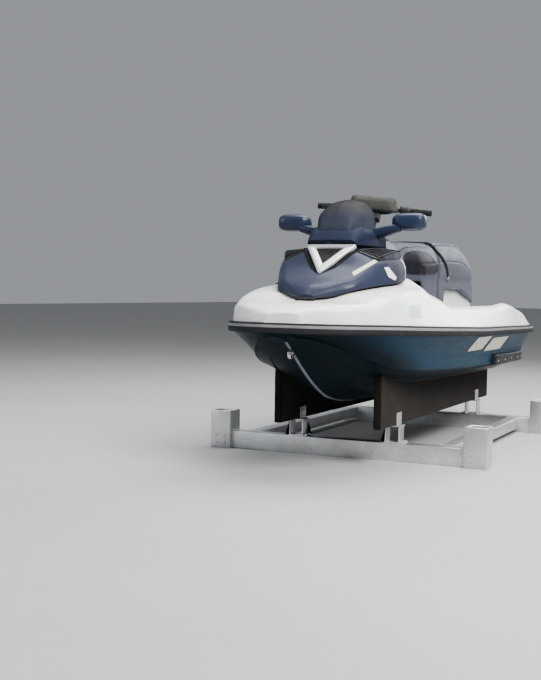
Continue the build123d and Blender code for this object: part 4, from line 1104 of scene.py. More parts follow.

# painted shadow: a thin black sheet laid on the hood beside each slanted grille bar stands for the shadow line under
# the bar
shadow_strips = []
N_V = Vector(v_at(0, 100, 1)) - Vector(v_at(0, 100, 0))
N_V.normalize()
for sgn in (1, -1):
    rows = []
    for t in steps(12, (V_LEN - 6, 7)):
        x0 = V_TOP_X * t / V_LEN
        q = min(1.0, t / 70.0)
        rows.append([(sgn * (x0 + w * q + 2), t - w * 0.35 * q) for w in (0, 5, 10, 15, 20, 24)])
    verts, faces = [], []
    for row in rows:
        for x, tt in row:
            hit, nor, _, _ = hood_panel_tree.ray_cast(Vector(v_at(x, tt, 70)), -N_V)
            verts.append(tuple(hit + nor * 0.0007) if hit is not None and nor.dot(N_V) > 0.2 else None)
    w = len(rows[0])
    used = {}
    out_v = []
    for i, v in enumerate(verts):
        if v is not None:
            used[i] = len(out_v)
            out_v.append(v)
    for r in range(len(rows) - 1):
        for c in range(w - 1):
            q4 = [r * w + c, r * w + c + 1, (r + 1) * w + c + 1, (r + 1) * w + c]
            if all(i in used for i in q4):
                faces.append(tuple(used[i] for i in (q4 if sgn > 0 else q4[::-1])))
    if faces:
        o = tidy(mesh_from("shadow_strip", out_v, faces))
        mod = o.modifiers.new("thick", "SOLIDIFY")
        mod.thickness = 0.0009
        mod.offset = 0
        bake_mods(o)
        shadow_strips.append(o)
give(shade(join("grille_shadow_strips", shadow_strips), 40), DEEP_BLACK, "hood", "black_plastic")

# rubber seal round the hood's lower edge
edge = []
for s in steps(300, (345, 8), (620, 18), (876, 20)):
    xb, zb = hood_at(s)[:2]
    edge.append((xb, s, zb))
seal_line = [P(x, s, z) for x, s, z in reversed(edge)] + [P(-x, s, z) for x, s, z in edge]
seal_pts = [Vector(p) - Vector((0.0025 * (1 if p[0] > 0 else -1), 0, -0.001)) for p in seal_line]
seal = tube("hood_edge_seal", seal_pts, 0.0032, 10)
give(seal, BUMPER, "hood", "bumper_rubber")

cowl = cowl_solid("cowl_panel")
cowl_in = section_loft("cowl_inner", steps(628, (665, 9), (730, 16), (1005, 40)), lambda s: shell_half(cowl_at(s), 6.0, 30.0))
carve(cowl, cowl_in, hood_solid("hood_for_cowl"), v_cutter("v_cut2"))
shade(cowl, 36)
give(cowl, COWL_BLUE, "hood", "cowl_paint", ("hood_cowl",))
cowl_tree = bvh_of(cowl)

# silver frame of the grille, one rounded bar all the way round
bar_profile = [(0.5, -12), (0.5, 5), (1.6, 8.6), (4.2, 11.0), (8, 11.9), (17, 11.9), (21.5, 11.0), (24.4, 8.6), (25.6, 5), (25.6, -4), (25.2, -12)]
rings = [[v_at(x, t, lift) for x, t in v_loop(inset, max(12 - inset * 0.3, 4))] for inset, lift in bar_profile]
bezel = loft("grille_frame", rings + [rings[0]], True, False, 38)
give(bezel, SILVER, "hood", "silver_trim", ("grille_bezel",))


def clip_to_poly(p, q, poly):
    """Part of line p-q inside a convex polygon, or None."""
    t0, t1 = 0.0, 1.0
    d = (q[0] - p[0], q[1] - p[1])
    n = len(poly)
    cx = sum(v[0] for v in poly) / n
    cy = sum(v[1] for v in poly) / n
    for i in range(n):
        a, b = poly[i], poly[(i + 1) % n]
        nx, ny = a[1] - b[1], b[0] - a[0]
        if nx * (cx - a[0]) + ny * (cy - a[1]) < 0:
            nx, ny = -nx, -ny
        num = nx * (p[0] - a[0]) + ny * (p[1] - a[1])
        den = nx * d[0] + ny * d[1]
        if abs(den) < 1e-9:
            if num < 0:
                return None
            continue
        t = -num / den
        if den > 0:
            t0 = max(t0, t)
        else:
            t1 = min(t1, t)
    if t1 - t0 < 1e-3:
        return None
    return ((p[0] + d[0] * t0, p[1] + d[1] * t0), (p[0] + d[0] * t1, p[1] + d[1] * t1))


wires = []
tri = v_corners(23.0)
for fam, (ang, lift) in enumerate(((58, -4.2), (122, -6.0))):
    c, sn = math.cos(math.radians(ang)), math.sin(math.radians(ang))
    for k in range(-22, 40):
        off = k * 15.0
        base = (off, V_LEN)
        p, q = (base[0] - c * 600, base[1] - sn * 600), (base[0] + c * 600, base[1] + sn * 600)
        cut_line = clip_to_poly(p, q, tri)
        if cut_line:
            a, b = cut_line
            wires.append(tube("wire", [v_at(a[0], a[1], lift), v_at((a[0] + b[0]) / 2, (a[1] + b[1]) / 2, lift), v_at(b[0], b[1], lift)], 0.0016, 8))
back_loop = v_loop(22.5, 4)
backing = loft("mesh_back", [[v_at(x, t, lift) for x, t in back_loop] for lift in (-9.8, -8.8)], angle=20)
mesh_piece = join("grille_wire", wires + [backing])
shade(mesh_piece, 50)
give(mesh_piece, BLACK, "hood", "black_plastic", ("grille_mesh",))


# louvred air vents between each lobe and the cowl
def vent_quad(s, top=0.0):
    xb, zb, xm, zm, xh, zh, xt, zt, zc = hood_at(s)
    a = (lerp(xh, xt, 0.06), lerp(zh, zt, 0.06))
    b = (lerp(xh, xt, 0.86), lerp(zh, zt, 0.86))
    k = min(1.0, (s - 500) / 265)
    return [a, b, (b[0] + 2, b[1] + 10 - top * 0.5), (a[0] - 2, a[1] + 46 * k - top)]


vents = []
for sgn in (1, -1):
    rows = [(s, vent_quad(s, 9.0)) for s in steps(620, (880, 20))]
    parts = [loft("vent_body", [[P(sgn * x, s, z) for x, z in q] for s, q in rows], angle=25)]
    for s in steps(632, (870, 17)):
        q0, q1 = vent_quad(s, 1.0), vent_quad(s + 4.5, 1.0)
        low0, low1 = vent_quad(s + 5, 11.0), vent_quad(s + 9.5, 11.0)
        ring0 = [P(sgn * q0[3][0], s, q0[3][1]), P(sgn * q0[2][0], s, q0[2][1]), P(sgn * q1[2][0], s + 4.5, q1[2][1]), P(sgn * q1[3][0], s + 4.5, q1[3][1])]
        ring1 = [P(sgn * low0[3][0], s + 5, low0[3][1]), P(sgn * low0[2][0], s + 5, low0[2][1]), P(sgn * low1[2][0], s + 9.5, low1[2][1]), P(sgn * low1[3][0], s + 9.5, low1[3][1])]
        parts.append(bevelled(loft("slat", [ring0, ring1], angle=20), 0.0012, 2))
    # raised rim round the louvres
    rim = []
    for s in steps(622, (878, 16)):
        q = vent_quad(s)
        rim.append(P(sgn * q[3][0], s, q[3][1] - 2.5))
    parts.append(tube("rim", rim, 0.0032, 10))
    rim = []
    for s in steps(622, (878, 16)):
        q = vent_quad(s)
        rim.append(P(sgn * q[2][0], s, q[2][1] - 2.0))
    parts.append(tube("rim", rim, 0.0026, 10))
    vents.append(join("vent", parts))
vent_piece = join("hood_air_vents", vents)
vent_piece.data.materials.clear()
vent_piece.data.materials.append(BLACK)
split_side(vent_piece, GREY_PANEL, (383.7, 256.0), (397.4, 282.9), 640)
shade(vent_piece, 40)
place(vent_piece, "hood", "black_plastic", ("hood_vents",))

# smoked windshield with a black edge bead
SCREEN_R = (0, 4, 40, 46, 0)
SCREEN_S = steps(664, (690, 6), (770, 10), (880, 12))
SMOKE = Mat("smoked_acrylic", (0.032, 0.033, 0.036), 0.6, 0.0, Transmission_Weight=0.08, IOR=1.45, Specular_IOR_Level=0.07)
up = SMOKE._n("ShaderNodeVectorMath", operation="DOT_PRODUCT")
SMOKE.nt.links.new(SMOKE.tc.outputs["Object"], up.inputs[0])
up.inputs[1].default_value = (0, 0, 1)
# the tint fades from the cowl's blue at the foot to smoke at the top
tint = SMOKE.fit(up.outputs["Value"], 1.0, 0.0, P(0, 0, 1015)[2], P(0, 0, 1105)[2])
smoke = SMOKE.ramp(SMOKE.noise(6, 4, 0.6), (0.3, (0.025, 0.026, 0.028)), (0.7, (0.033, 0.034, 0.036)))
SMOKE.use_color(SMOKE.mix(tint, smoke, (0.046, 0.053, 0.075)))
SMOKE.use_rough(SMOKE.fit(SMOKE.noise(34, 6, 0.7, stretch=(1, 0.3, 1)), 0.52, 0.64, 0.4, 0.75))
SMOKE.bump(SMOKE.noise(520, 3, 0.6, stretch=(1, 0.06, 1)), 0.03, 0.0002)
screen = section_loft("windshield_shell", SCREEN_S, lambda s: shell_half(screen_at(s), 0, 0, SCREEN_R))
screen_in = section_loft("screen_inner", steps(669, (690, 7), (770, 10), (885, 12)), lambda s: shell_half(screen_at(s), 4.0, 40.0, SCREEN_R))
carve(screen, screen_in, cowl_solid("cowl_for_screen"))
shade(screen, 42)
screen.data.materials.clear()
screen.data.materials.append(SMOKE.m)
place(screen, "hood", "smoked_screen", ("windshield",))
bead = [P(x, 878, z - 0.5) for x, z in [(-a, b) for a, b in reversed(shell_half(screen_at(878), 2.0, 0, SCREEN_R)[3:])][:-1] + shell_half(screen_at(878), 2.0, 0, SCREEN_R)[3:][::-1]]
bead = [p for p in bead if p[2] * 1000 - ZH > 984]
bead = sorted(bead, key=lambda p: math.atan2(p[0], p[2] - 1.25))
give(tube("windshield_bead", bead, 0.0034, 10), BUMPER, "hood", "bumper_rubber")


# mirrors
def mirror_ring(x, k, back=940.0, n=22):
    zc, hz = 1025.0, 49.0 * k
    depth = 74.0 * k
    out = []
    for i in range(n + 1):
        a = math.pi * (i / n - 0.5)
        ca, sa = math.cos(a), math.sin(a)
        out.append((x, back - 6 - (depth - 6) * abs(ca) ** 0.72, zc + hz * math.copysign(abs(sa) ** 0.62, sa)))
    top, low = out[-1], out[0]
    for i in range(1, 5):
        t = math.pi / 2 * i / 4
        out.append((x, back - 6 + 6 * math.sin(t), top[2] - 6 * (1 - math.cos(t))))
    for i in range(1, 6):
        out.append((x, back, top[2] - 6 + (low[2] + 6 - top[2] + 6) * i / 6))
    for i in range(4, 0, -1):
        t = math.pi / 2 * i / 4
        out.append((x, back - 6 + 6 * math.sin(t), low[2] + 6 * (1 - math.cos(t))))
    return out


K_OF = Rows([(246, 0.30), (250, 0.50), (262, 0.72), (286, 0.93), (340, 1.0), (380, 1.0), (412, 0.93), (428, 0.78), (435, 0.58), (438, 0.32)]).at
mirrors = {}
for sgn, nm in ((1, "left"), (-1, "right")):
    rings = [[P(sgn * x, s, z) for x, s, z in mirror_ring(x, float(K_OF(x)[0]))] for x in steps(246, (250, 1.4), (262, 3), (412, 10), (428, 3.2), (438, 1.4))]
    shell = loft("mirror_shell", rings, angle=40)
    arm_rows = Rows([(150, 44, 30, 955), (186, 40, 31, 965), (228, 35, 29, 976), (300, 27, 21, 992)])
    rings = []
    for x in steps(150, (300, 12)):
        w, h, zc = arm_rows.at(x)
        rings.append([P(sgn * x, 900 + w * math.copysign(abs(math.cos(a)) ** 0.7, math.cos(a)),
                        zc + h * math.copysign(abs(math.sin(a)) ** 0.7, math.sin(a))) for a in [2 * math.pi * k / 28 for k in range(28)]])
    arm = loft("mirror_arm", rings, angle=40)
    o = join(nm + "_mirror_housing", [shell, arm])
    shade(o, 40)
    give(o, MIRROR_BLUE, "hood", "mirror_paint", (nm + "_mirror",))

MIRROR_FACE = Mat("mirror_glass", (0.62, 0.64, 0.66), 0.05, 1.0)
MIRROR_FACE.use_rough(MIRROR_FACE.fit(MIRROR_FACE.noise(60, 5, 0.6), 0.03, 0.12))
MIRROR_FACE.use_color(MIRROR_FACE.ramp(MIRROR_FACE.noise(20, 4, 0.6), (0.3, (0.56, 0.58, 0.60)), (0.7, (0.66, 0.68, 0.70))))
glasses, frames = [], []
for sgn in (1, -1):
    loop = round_poly([(276, 990), (418, 988), (427, 1024), (417, 1060), (278, 1060)], 11, 5, 4)
    glasses.append(loft("glass", [[P(sgn * x, s, z) for x, z in loop] for s in (940.3, 943.4)], angle=30))
    cx, cz = 350, 1025
    rings = []
    for grow, s in ((1.0, 940.2), (1.0, 943.6), (1.006, 944.6), (1.02, 944.9), (1.032, 944.0), (1.036, 940.2)):
        rings.append([P(sgn * (cx + (x - cx) * grow), s, cz + (z - cz) * (1 + (grow - 1) * 2.0)) for x, z in loop])
    frames.append(loft("frame", rings + [rings[0]], True, False, 40))
give(join("mirror_plates", glasses), MIRROR_FACE.m, "hood", "mirror_glass", ("mirror_glass",))
give(join("mirror_rims", frames), BLACK, "hood", "black_plastic")

# storage bin under the hood, with a rolled lip and pressed floor ribs
bin_o = from_cad("storage_bin", "front_storage_bin", 0.004, 3)
ribs = []
for k in range(-2, 3):
    ribs.append(bevelled(block("rib", -150, 150, 714 + k * 44 - 5, 714 + k * 44 + 5, 384, 389), 0.0022, 2))
bin_o = join("front_storage_bin", [bin_o] + ribs)
shade(bin_o, 40)
give(bin_o, BLACK, "root", "black_plastic", ("storage_bin",))
give(from_cad("hood_hinge", "hood_hinge_lugs", 0.0018, 2), BLACK, "root", "stainless", ("hood_hinge",))

# ------------------------------------------------------------------ console and dash
CONSOLE_R = (0, 4, 52, 40, 0)
console = section_loft("console_cowling", steps(890, (1004, 14), (1012, 1.6), (1160, 14), (1395, 12)), lambda s: shell_half(console_at(s), 0, 0, CONSOLE_R))
tilt = math.radians(27.0)
AX_C = Vector(P(0, 1295, 1120))
AX_D = Vector((0, math.sin(tilt), math.cos(tilt)))


def on_axis(t, x=0.0, side=0.0):
    """t mm up the steering axis from the bars' centre, in metres."""
    return AX_C + AX_D * (t / 1000) + Vector((x / 1000, math.cos(tilt) * side / 1000, -math.sin(tilt) * side / 1000))


zc0, zc1 = console_at(1298)[6], console_at(1384)[6]
lid_hole = loft("lid_hole", [[P(x, s, z) for x, z in ((-88, zc - 118), (88, zc - 118), (88, 960), (-88, 960))] for s, zc in ((1298, zc0), (1384, zc1))], angle=20)
column_hole = tube("column_hole", [on_axis(-215), on_axis(0)], 0.028, 40)
carve(console, lid_hole, column_hole)
shade(console, 38)
console.data.materials.clear()
console.data.materials.append(GREY)
console.data.materials.append(BLACK)
for f in console.data.polygons:
    c = f.center
    if abs(c.x) < 0.0885 and 1297.5 <= c.y * 1000 + HALF <= 1384.5 and abs(f.normal.z) < 0.4 and c.z * 1000 - ZH < 905 and abs(c.x) + 1 > 0 and (abs(c.x) > 0.0875 or abs(c.y * 1000 + HALF - 1298) < 0.6 or abs(c.y * 1000 + HALF - 1384) < 0.6):
        f.material_index = 1
place(console, "root", "grey_plastic", ("console",))
console_tree = bvh_of(console)


def bolt(at, normal, r=0.005, h=0.003, name="bolt", sides=6, washer=1.5):
    """Hex or round head with a washer, standing on a face."""
    n = Vector(normal).normalized()
    a = n.orthogonal().normalized()
    b = n.cross(a)
    at = Vector(at)
    rings = []
    for rr, hh in ((r * washer, -0.0005), (r * washer, h * 0.22), (r * washer * 0.96, h * 0.3)):
        rings.append([tuple(at + (a * math.cos(2 * math.pi * k / 24) + b * math.sin(2 * math.pi * k / 24)) * rr + n * hh) for k in range(24)])
    w = loft(name, rings, angle=30)
    rings = []
    for rr, hh in ((r, 0), (r, h * 0.85), (r * 0.86, h)):
        pts = []
        for k in range(24):
            ang = 2 * math.pi * k / 24
            q = rr
            if sides == 6:
                m = (ang % (math.pi / 3)) - math.pi / 6
                q = rr * math.cos(math.pi / 6) / math.cos(m)
            pts.append(tuple(at + (a * math.cos(ang) + b * math.sin(ang)) * q + n * hh))
        rings.append(pts)
    head = loft(name, rings, angle=30)
    return join(name, [w, head])


def on_surface(tree, origin, direction):
    loc, nor, _, _ = tree.ray_cast(Vector(origin), Vector(direction).normalized())
    if loc is None:
        return None, None
    if nor.dot(Vector(direction)) > 0:
        nor = -nor
    return loc, nor


# glove box lid: grained panel, finger pull and a latch bar
lid = from_cad("glove_box_lid", "glove_lid_panel", 0.0018, 3)
lid_tree = bvh_of(lid)
pull = []
for x in (-22, 22):
    loc, nor = on_surface(lid_tree, P(x, 1368, 990), (0, 0, -1))
    pull.append(loc + nor * 0.001 if loc else Vector(P(x, 1368, 876)))
grab_bar = tube("pull", [pull[0], pull[0].lerp(pull[1], 0.5), pull[1]], 0.0035, 12)
lid = join("glove_lid_panel", [lid, grab_bar])
shade(lid, 40)
give(lid, BLACK, "glove_lid", "black_plastic", ("glove_box_lid",))

# gauge panel
gp = from_cad("gauge_panel", "gauge_hood", 0.004, 3)
give(gp, BLACK, "root", "black_plastic", ("gauge_panel",))
g0, g1 = Vector(P(0, 1120, 950)), Vector(P(0, 1052, 996))
GU = (g1 - g0).normalized()
GN = Vector((0, -GU.z, GU.y)) if Vector((0, -GU.z, GU.y)).z > 0 else Vector((0, GU.z, -GU.y))
GC = (g0 + g1) / 2


def gauge_pt(x, v, lift):
    return GC + Vector((x / 1000, 0, 0)) + GU * (v / 1000) + GN * (lift / 1000)


def gauge_disc(name, cx, r, rows, n=48):
    return loft(name, [[tuple(gauge_pt(cx + rr * math.cos(2 * math.pi * k / n), rr * math.sin(2 * math.pi * k / n), lift)) for k in range(n)] for rr, lift in rows], angle=30)


ring_parts, face_parts, mark_parts = [], [], []
for cx, r in ((0, 36), (-66, 22), (66, 22)):
    ring_parts.append(gauge_disc("ring", cx, r, [(r - 3.2, 0.2), (r - 3.2, 2.2), (r - 2.4, 3.2), (r - 1.0, 3.2), (r, 2.0), (r, -0.6), (r - 3.2, -0.6), (r - 3.2, 0.2)]))
    face_parts.append(gauge_disc("face", cx, r, [(r - 3.1, -0.4), (r - 3.1, 0.7)]))
    n_t = 13 if cx == 0 else 7
    for k in range(n_t):
        a = math.radians(225 - 270 * k / (n_t - 1))
        p0, p1 = r * 0.86, r * (0.70 if k % 2 == 0 else 0.77)
        mark_parts.append(tube("tick", [gauge_pt(cx + q * math.cos(a), q * math.sin(a), 0.85) for q in (p0, (p0 + p1) / 2, p1)], 0.00055, 6))
    a = math.radians(200)
    mark_parts.append(tube("needle", [gauge_pt(cx + q * math.cos(a), q * math.sin(a), 1.3) for q in (-0.12 * r, 0.3 * r, 0.66 * r)], 0.0008, 6, radii=[0.0011, 0.0008, 0.0004]))
    mark_parts.append(gauge_disc("hub", cx, r, [(3.2, 0.5), (3.2, 2.0), (2.4, 2.6)], 20))
give(join("gauge_rings", ring_parts), SILVER, "root", "silver_trim")
DIAL = moulded("dial_face", (0.012, 0.013, 0.016), rough=0.35, grain=1400, depth=0.05, wear=0.04)
give(join("gauge_faces", face_parts), DIAL, "root", "black_plastic")
give(join("gauge_marks", mark_parts), WHITE, "root", "silver_trim")

# steering column with its rubber bellows
col = from_cad("steering_column", "steering_tube", 0.0012, 2)
rings = []
n_b = 9
for i in range(n_b * 8 + 1):
    t = -165 + (87.0 * i) / (n_b * 8)
    rr = 29.4 + 2.6 * (0.5 - 0.5 * math.cos(2 * math.pi * i / 8))
    a = AX_D.orthogonal().normalized()
    b = AX_D.cross(a)
    rings.append([tuple(on_axis(t) + (a * math.cos(2 * math.pi * k / 40) + b * math.sin(2 * math.pi * k / 40)) * rr / 1000) for k in range(40)])
bellows = loft("bellows", rings, angle=60)
col = join("steering_tube", [col, bellows])
shade(col, 45)
give(col, BUMPER, "root", "black_plastic", ("steering_column",))

lev = from_cad("shift_lever", "shift_lever_arm", 0.0015, 2)
give(lev, BLACK, "root", "black_plastic", ("shift_lever",))

# ------------------------------------------------------------------ handlebar
TURN = Matrix.Translation(AX_C) @ Matrix.Rotation(math.radians(9.0), 4, AX_D) @ Matrix.Translation(-AX_C)


def turned(o):
    o.data.transform(TURN)
    return o


SS, SZ = 1295.0, 1120.0
bar_pts = [(-336, SS + 18, SZ + 4), (-140, SS + 2, SZ + 10), (-80, SS, SZ - 12), (80, SS, SZ - 12), (140, SS + 2, SZ + 10), (336, SS + 18, SZ + 4)]
bar_line = [P(*p) for p in soft_line(bar_pts, [0, 26, 26, 26, 26, 0], [8, 3, 6, 3, 8], 7)]
bar_tube = tube("bar", bar_line, 0.011, 24)
stem_line = [on_axis(-200), on_axis(-110), on_axis(-10)]
stem = tube("stem", stem_line, 0.0157, 32)
pl_x, pl_z = Vector((1, 0, 0)), AX_D
pl_y = pl_z.cross(pl_x)
o0 = on_axis(-30)
cv = [o0 + pl_x * x / 1000 + pl_y * y / 1000 + pl_z * z / 1000 for x in (-45, 45) for y in (-28, 28) for z in (-40, 20)]
clampb = tidy(mesh_from("clamp", cv, [(0, 1, 3, 2), (4, 6, 7, 5), (0, 4, 5, 1), (2, 3, 7, 6), (0, 2, 6, 4), (1, 5, 7, 3)]))
bevelled(clampb, 0.005, 3)
bolts = [bolt(o0 + pl_x * x / 1000 + pl_y * y / 1000 + pl_z * 0.020, pl_z, 0.0065, 0.006) for x in (-32, 32) for y in (-17, 17)]
hb = join("handlebar_tube", [bar_tube, stem, clampb] + bolts)
shade(turned(hb), 40)
give(hb, BLACK, "steering", "black_plastic", ("handlebar",))

PADR = Rows([(-62, 118, 2, 104, 52), (-52, 130, -3, 114, 68), (-30, 150, -8, 130, 84), (34, 148, -8, 126, 78), (50, 130, -4, 110, 62), (58, 118, 2, 102, 46)]).at


def pad_half(ds, k=1.0):
    xb, z0, xt, z1 = PADR(ds)
    zm = (z0 + z1) / 2
    pts = [(0, z0), (xb, z0), (xt, z1), (0, z1 + 2)]
    pts = [(x * k, zm + (z - zm) * k) for x, z in pts]
    return [(x, SZ + z) for x, z in soft_line(pts, [0, 16, 26, 0], [4, 4, 5], 6)]


rings = []
for ds, k in [(-62, 0.90), (-61, 0.955), (-59, 0.985)] + [(d, 1.0) for d in steps(-56, (-20, 5), (34, 12), (52, 5))] + [(55, 0.985), (57.2, 0.955), (58, 0.90)]:
    rings.append([P(x, SS + ds, z) for x, z in loop_of(pad_half(ds, k))])
pad = loft("bar_pad", rings, angle=45)
pad_tree = bvh_of(pad)
# parting line and four screws
beadline = []
for ds in steps(-52, (48, 6)):
    xb, z0, xt, z1 = PADR(ds)
    loc, nor = on_surface(pad_tree, P(200, SS + ds, SZ + z0 + 16), (-1, 0, 0))
    if loc:
        beadline.append(loc)
seams = [ridge("seam", pad_tree, beadline, 0.004, 0.0012), ridge("seam", pad_tree, [Vector((-p.x, p.y, p.z)) for p in beadline], 0.004, 0.0012)]
screws = []
for x in (-78, 78):
    for ds in (-22, 30):
        loc, nor = on_surface(pad_tree, P(x, SS + ds, SZ + 160), (0, 0, -1))
        screws.append(bolt(loc, nor, 0.0036, 0.0018, sides=24))
pad = join("bar_pad", [pad] + seams)
shade(turned(pad), 45)
PAD_GREY = moulded("pad_grey", (0.052, 0.053, 0.050), rough=0.65)
give(pad, PAD_GREY, "steering", "grey_plastic", ("handlebar_pad",))
sc = join("bar_pad_screws", screws)
turned(sc)
give(sc, STEEL, "steering", "stainless")


def lathe(name, p, q, profile, sides=36, angle=35):
    """Turned shape from p towards q: profile is (mm along, mm radius)."""
    p, q = Vector(p), Vector(q)
    d = (q - p).normalized()
    a = d.orthogonal().normalized()
    b = d.cross(a)
    rings = [[tuple(p + d * (t / 1000) + (a * math.cos(2 * math.pi * k / sides) + b * math.sin(2 * math.pi * k / sides)) * (r / 1000)) for k in range(sides)] for t, r in profile]
    return loft(name, rings, angle=angle)


def bar_at(x, dr=0.0):
    a, b = bar_pts[-2], bar_pts[-1]
    t = (x - a[0]) / (b[0] - a[0])
    return Vector(P(*(lerp(u, v, t) for u, v in zip(a, b))))


grips = []
for sgn in (1, -1):
    prof = [(0, 12), (0, 18.3), (5, 18.4), (6.5, 16.4)]
    t = 8.0
    while t < 106:
        prof += [(t, 16.2), (t + 1.0, 17.9), (t + 3.6, 18.1), (t + 4.6, 16.4)]
        t += 6.2
    prof += [(112, 16.5), (114, 18.3), (120, 18.2), (122.5, 15), (123.6, 10)]
    g = lathe("grip", bar_at(222), bar_at(344), prof, 40, 30)
    if sgn < 0:
        g.data.transform(Matrix.Scale(-1, 4, (1, 0, 0)))
        g.data.flip_normals()
    grips.append(g)
gr = join("bar_grips", grips)
shade(turned(gr), 30)
give(gr, GRIP, "steering", "grip_rubber", ("hand_grips",))

pod_prof = [(0, 13), (0, 24), (2.5, 27.6), (6, 29), (16, 29), (17, 28.2), (18.5, 28.2), (19.5, 29), (44, 29), (45, 28.2), (46.5, 28.2), (47.5, 29), (54, 28.4), (58, 26.4), (60, 22), (60, 13)]
pod = lathe("pod", bar_at(158), bar_at(218), pod_prof, 44, 30)
pod_tree = bvh_of(pod)
btns = []
for x, r, h in ((178, 6.5, 3.4), (200, 8.0, 4.0)):
    c0 = bar_at(x)
    up = Vector((0, 0.86, 0.5)).normalized()
    loc, nor = on_surface(pod_tree, c0 + up * 0.08, -up)
    prof = [(-2, r), (h - 1, r), (h, r - 1)]
    btns.append(lathe("btn", loc, loc + nor, [(t, q) for t, q in prof], 24, 30))
pod2 = join("left_switch_pod", [pod])
shade(turned(pod2), 30)
give(pod2, BLACK, "steering", "black_plastic", ("switch_box",))
RED = moulded("button_red", (0.32, 0.03, 0.025), rough=0.4, depth=0.08)
bt = join("switch_buttons", btns)
shade(turned(bt), 30)
give(bt, RED, "steering", "black_plastic")
thr = from_cad("throttle_lever", "throttle_pod_lever", 0.0022, 2)
give(thr, BLACK, "steering", "black_plastic", ("throttle_lever",))


# ------------------------------------------------------------------ seats
FLAP_D = Rows([(1560, 574, 219, 232), (1640, 562, 220, 238), (1864, 562, 220, 240)]).at
FLAP_P = Rows([(1874, 562, 220, 240), (2000, 562, 220, 240), (2034, 656, 216, 239), (2330, 656, 216, 237),
               (2594, 608, 215, 232), (2788, 563, 214, 225), (2814, 556, 200, 212)]).at


def smooth01(t):
    t = min(1.0, max(0.0, t))
    return t * t * (3 - 2 * t)


def seat_half(s, row_of, flap_of, start):
    xb, xm, zm, xt, zt, zc = row_of(s)
    zf, xi, xo = flap_of(s)
    t = smooth01((s - start) / 34.0) if start else 1.0
    zf = lerp(702.0, zf, t)
    xi = lerp(xb - 12, xi, t)
    xo = lerp(xb - 2, xo, t)
    pts = [(0, 707), (min(212, xb - 8) - 2, 707), (xi, zf), (xo, zf), (xb, 706), (xm, zm), (xt, zt), (xt * 0.5, lerp(zt, zc, 0.75)), (0, zc)]
    return soft_line(pts, [0, 5, 4, 6, 34, 60, 46, 60, 0], [6, 5, 2, 5, 4, 4, 3, 3], 5)


def seat_shape(name, row_of, flap_of, s0, s1, r0, r1, start=None, back=False):
    """Closed crowned cushion with side flaps, both ends rounded."""
    stations = [s0 + d for d in (0, 0.6, 2, 4.5, 8, 12.5)] + steps(s0 + 18, (s1 - 18, 12)) + [s1 - d for d in (12.5, 8, 4.5, 2, 0.6, 0)]
    rings = []
    for s in stations:
        k = 1.0
        for d, r in ((s - s0, r0), (s1 - s, r1)):
            if d < r:
                k -= (r - math.sqrt(max(r * r - (r - d) ** 2, 0))) / 190.0
        rings.append([P(x * k, s, 706 + (z - 706) * k) for x, z in loop_of(seat_half(s, row_of, flap_of, start))])
    o = loft(name, rings, angle=60)
    if back:
        panel = loft("back", [[P(x, s, z) for x, z in round_poly([(-w, 558), (w, 558), (w, 730), (-w, 730)], 16, 5, 6)] for s, w in ((2795.5, 209), (2812.5, 201))], angle=40)
        o = join(name, [o, panel])
    return o


def pad_up(o, voxel, cap, keep_of, pressure=4.0, frames=20):
    """Remesh evenly, let cloth pressure fill the cover, and cap how far it moves."""
    m = o.modifiers.new("vox", "REMESH")
    m.mode = "VOXEL"
    m.voxel_size = voxel
    bake_mods(o)
    sm = o.modifiers.new("smooth", "SMOOTH")
    sm.factor = 0.5
    sm.iterations = 3
    bake_mods(o)
    rest = np.array([v.co[:] for v in o.data.vertices])
    nrm = np.array([v.normal[:] for v in o.data.vertices])
    c = o.modifiers.new("fill", "CLOTH")
    c.settings.quality = 5
    c.settings.use_pressure = True
    c.settings.uniform_pressure_force = pressure
    c.settings.tension_stiffness = 25
    c.settings.compression_stiffness = 25
    c.settings.bending_stiffness = 1.5
    c.settings.effector_weights.gravity = 0
    c.point_cache.frame_start = 1
    c.point_cache.frame_end = frames
    scene = bpy.context.scene
    for f in range(1, frames + 1):
        scene.frame_set(f)
    dg = bpy.context.evaluated_depsgraph_get()
    ev = o.evaluated_get(dg)
    got = np.array([v.co[:] for v in ev.data.vertices])
    o.modifiers.clear()
    scene.frame_set(1)
    move = got - rest
    along = (move * nrm).sum(1)
    k = np.array([keep_of(*p) for p in rest])
    step = np.clip(along, -0.25 * cap, cap) * k
    new = rest + nrm * step[:, None]
    o.data.vertices.foreach_set("co", new.ravel())
    o.data.update()
    sub = o.modifiers.new("sub", "SUBSURF")
    sub.levels = sub.render_levels = 1
    bake_mods(o)
    o.data.shade_smooth()
    return o


def press(o, lines, depth, width):
    """Sewn channels: push the surface in along lines given as distance functions."""
    me = o.data
    co = np.array([v.co[:] for v in me.vertices])
    nr = np.array([v.normal[:] for v in me.vertices])
    x = co[:, 0] * 1000
    s = co[:, 1] * 1000 + HALF
    z = co[:, 2] * 1000 - ZH
    amount = np.zeros(len(co))
    for fn, dep, wid in lines:
        d = fn(x, s, z, nr)
        amount = np.maximum(amount, dep * depth * np.exp(-(d / (wid * width)) ** 2))
    co -= nr * (amount / 1000.0)[:, None]
    me.vertices.foreach_set("co", co.ravel())
    me.update()
    return o


def cols_at(row_of, s, c):
    u = np.linspace(s.min(), s.max(), 400)
    v = np.array([row_of(q)[c] for q in u])
    return np.interp(s, u, v)


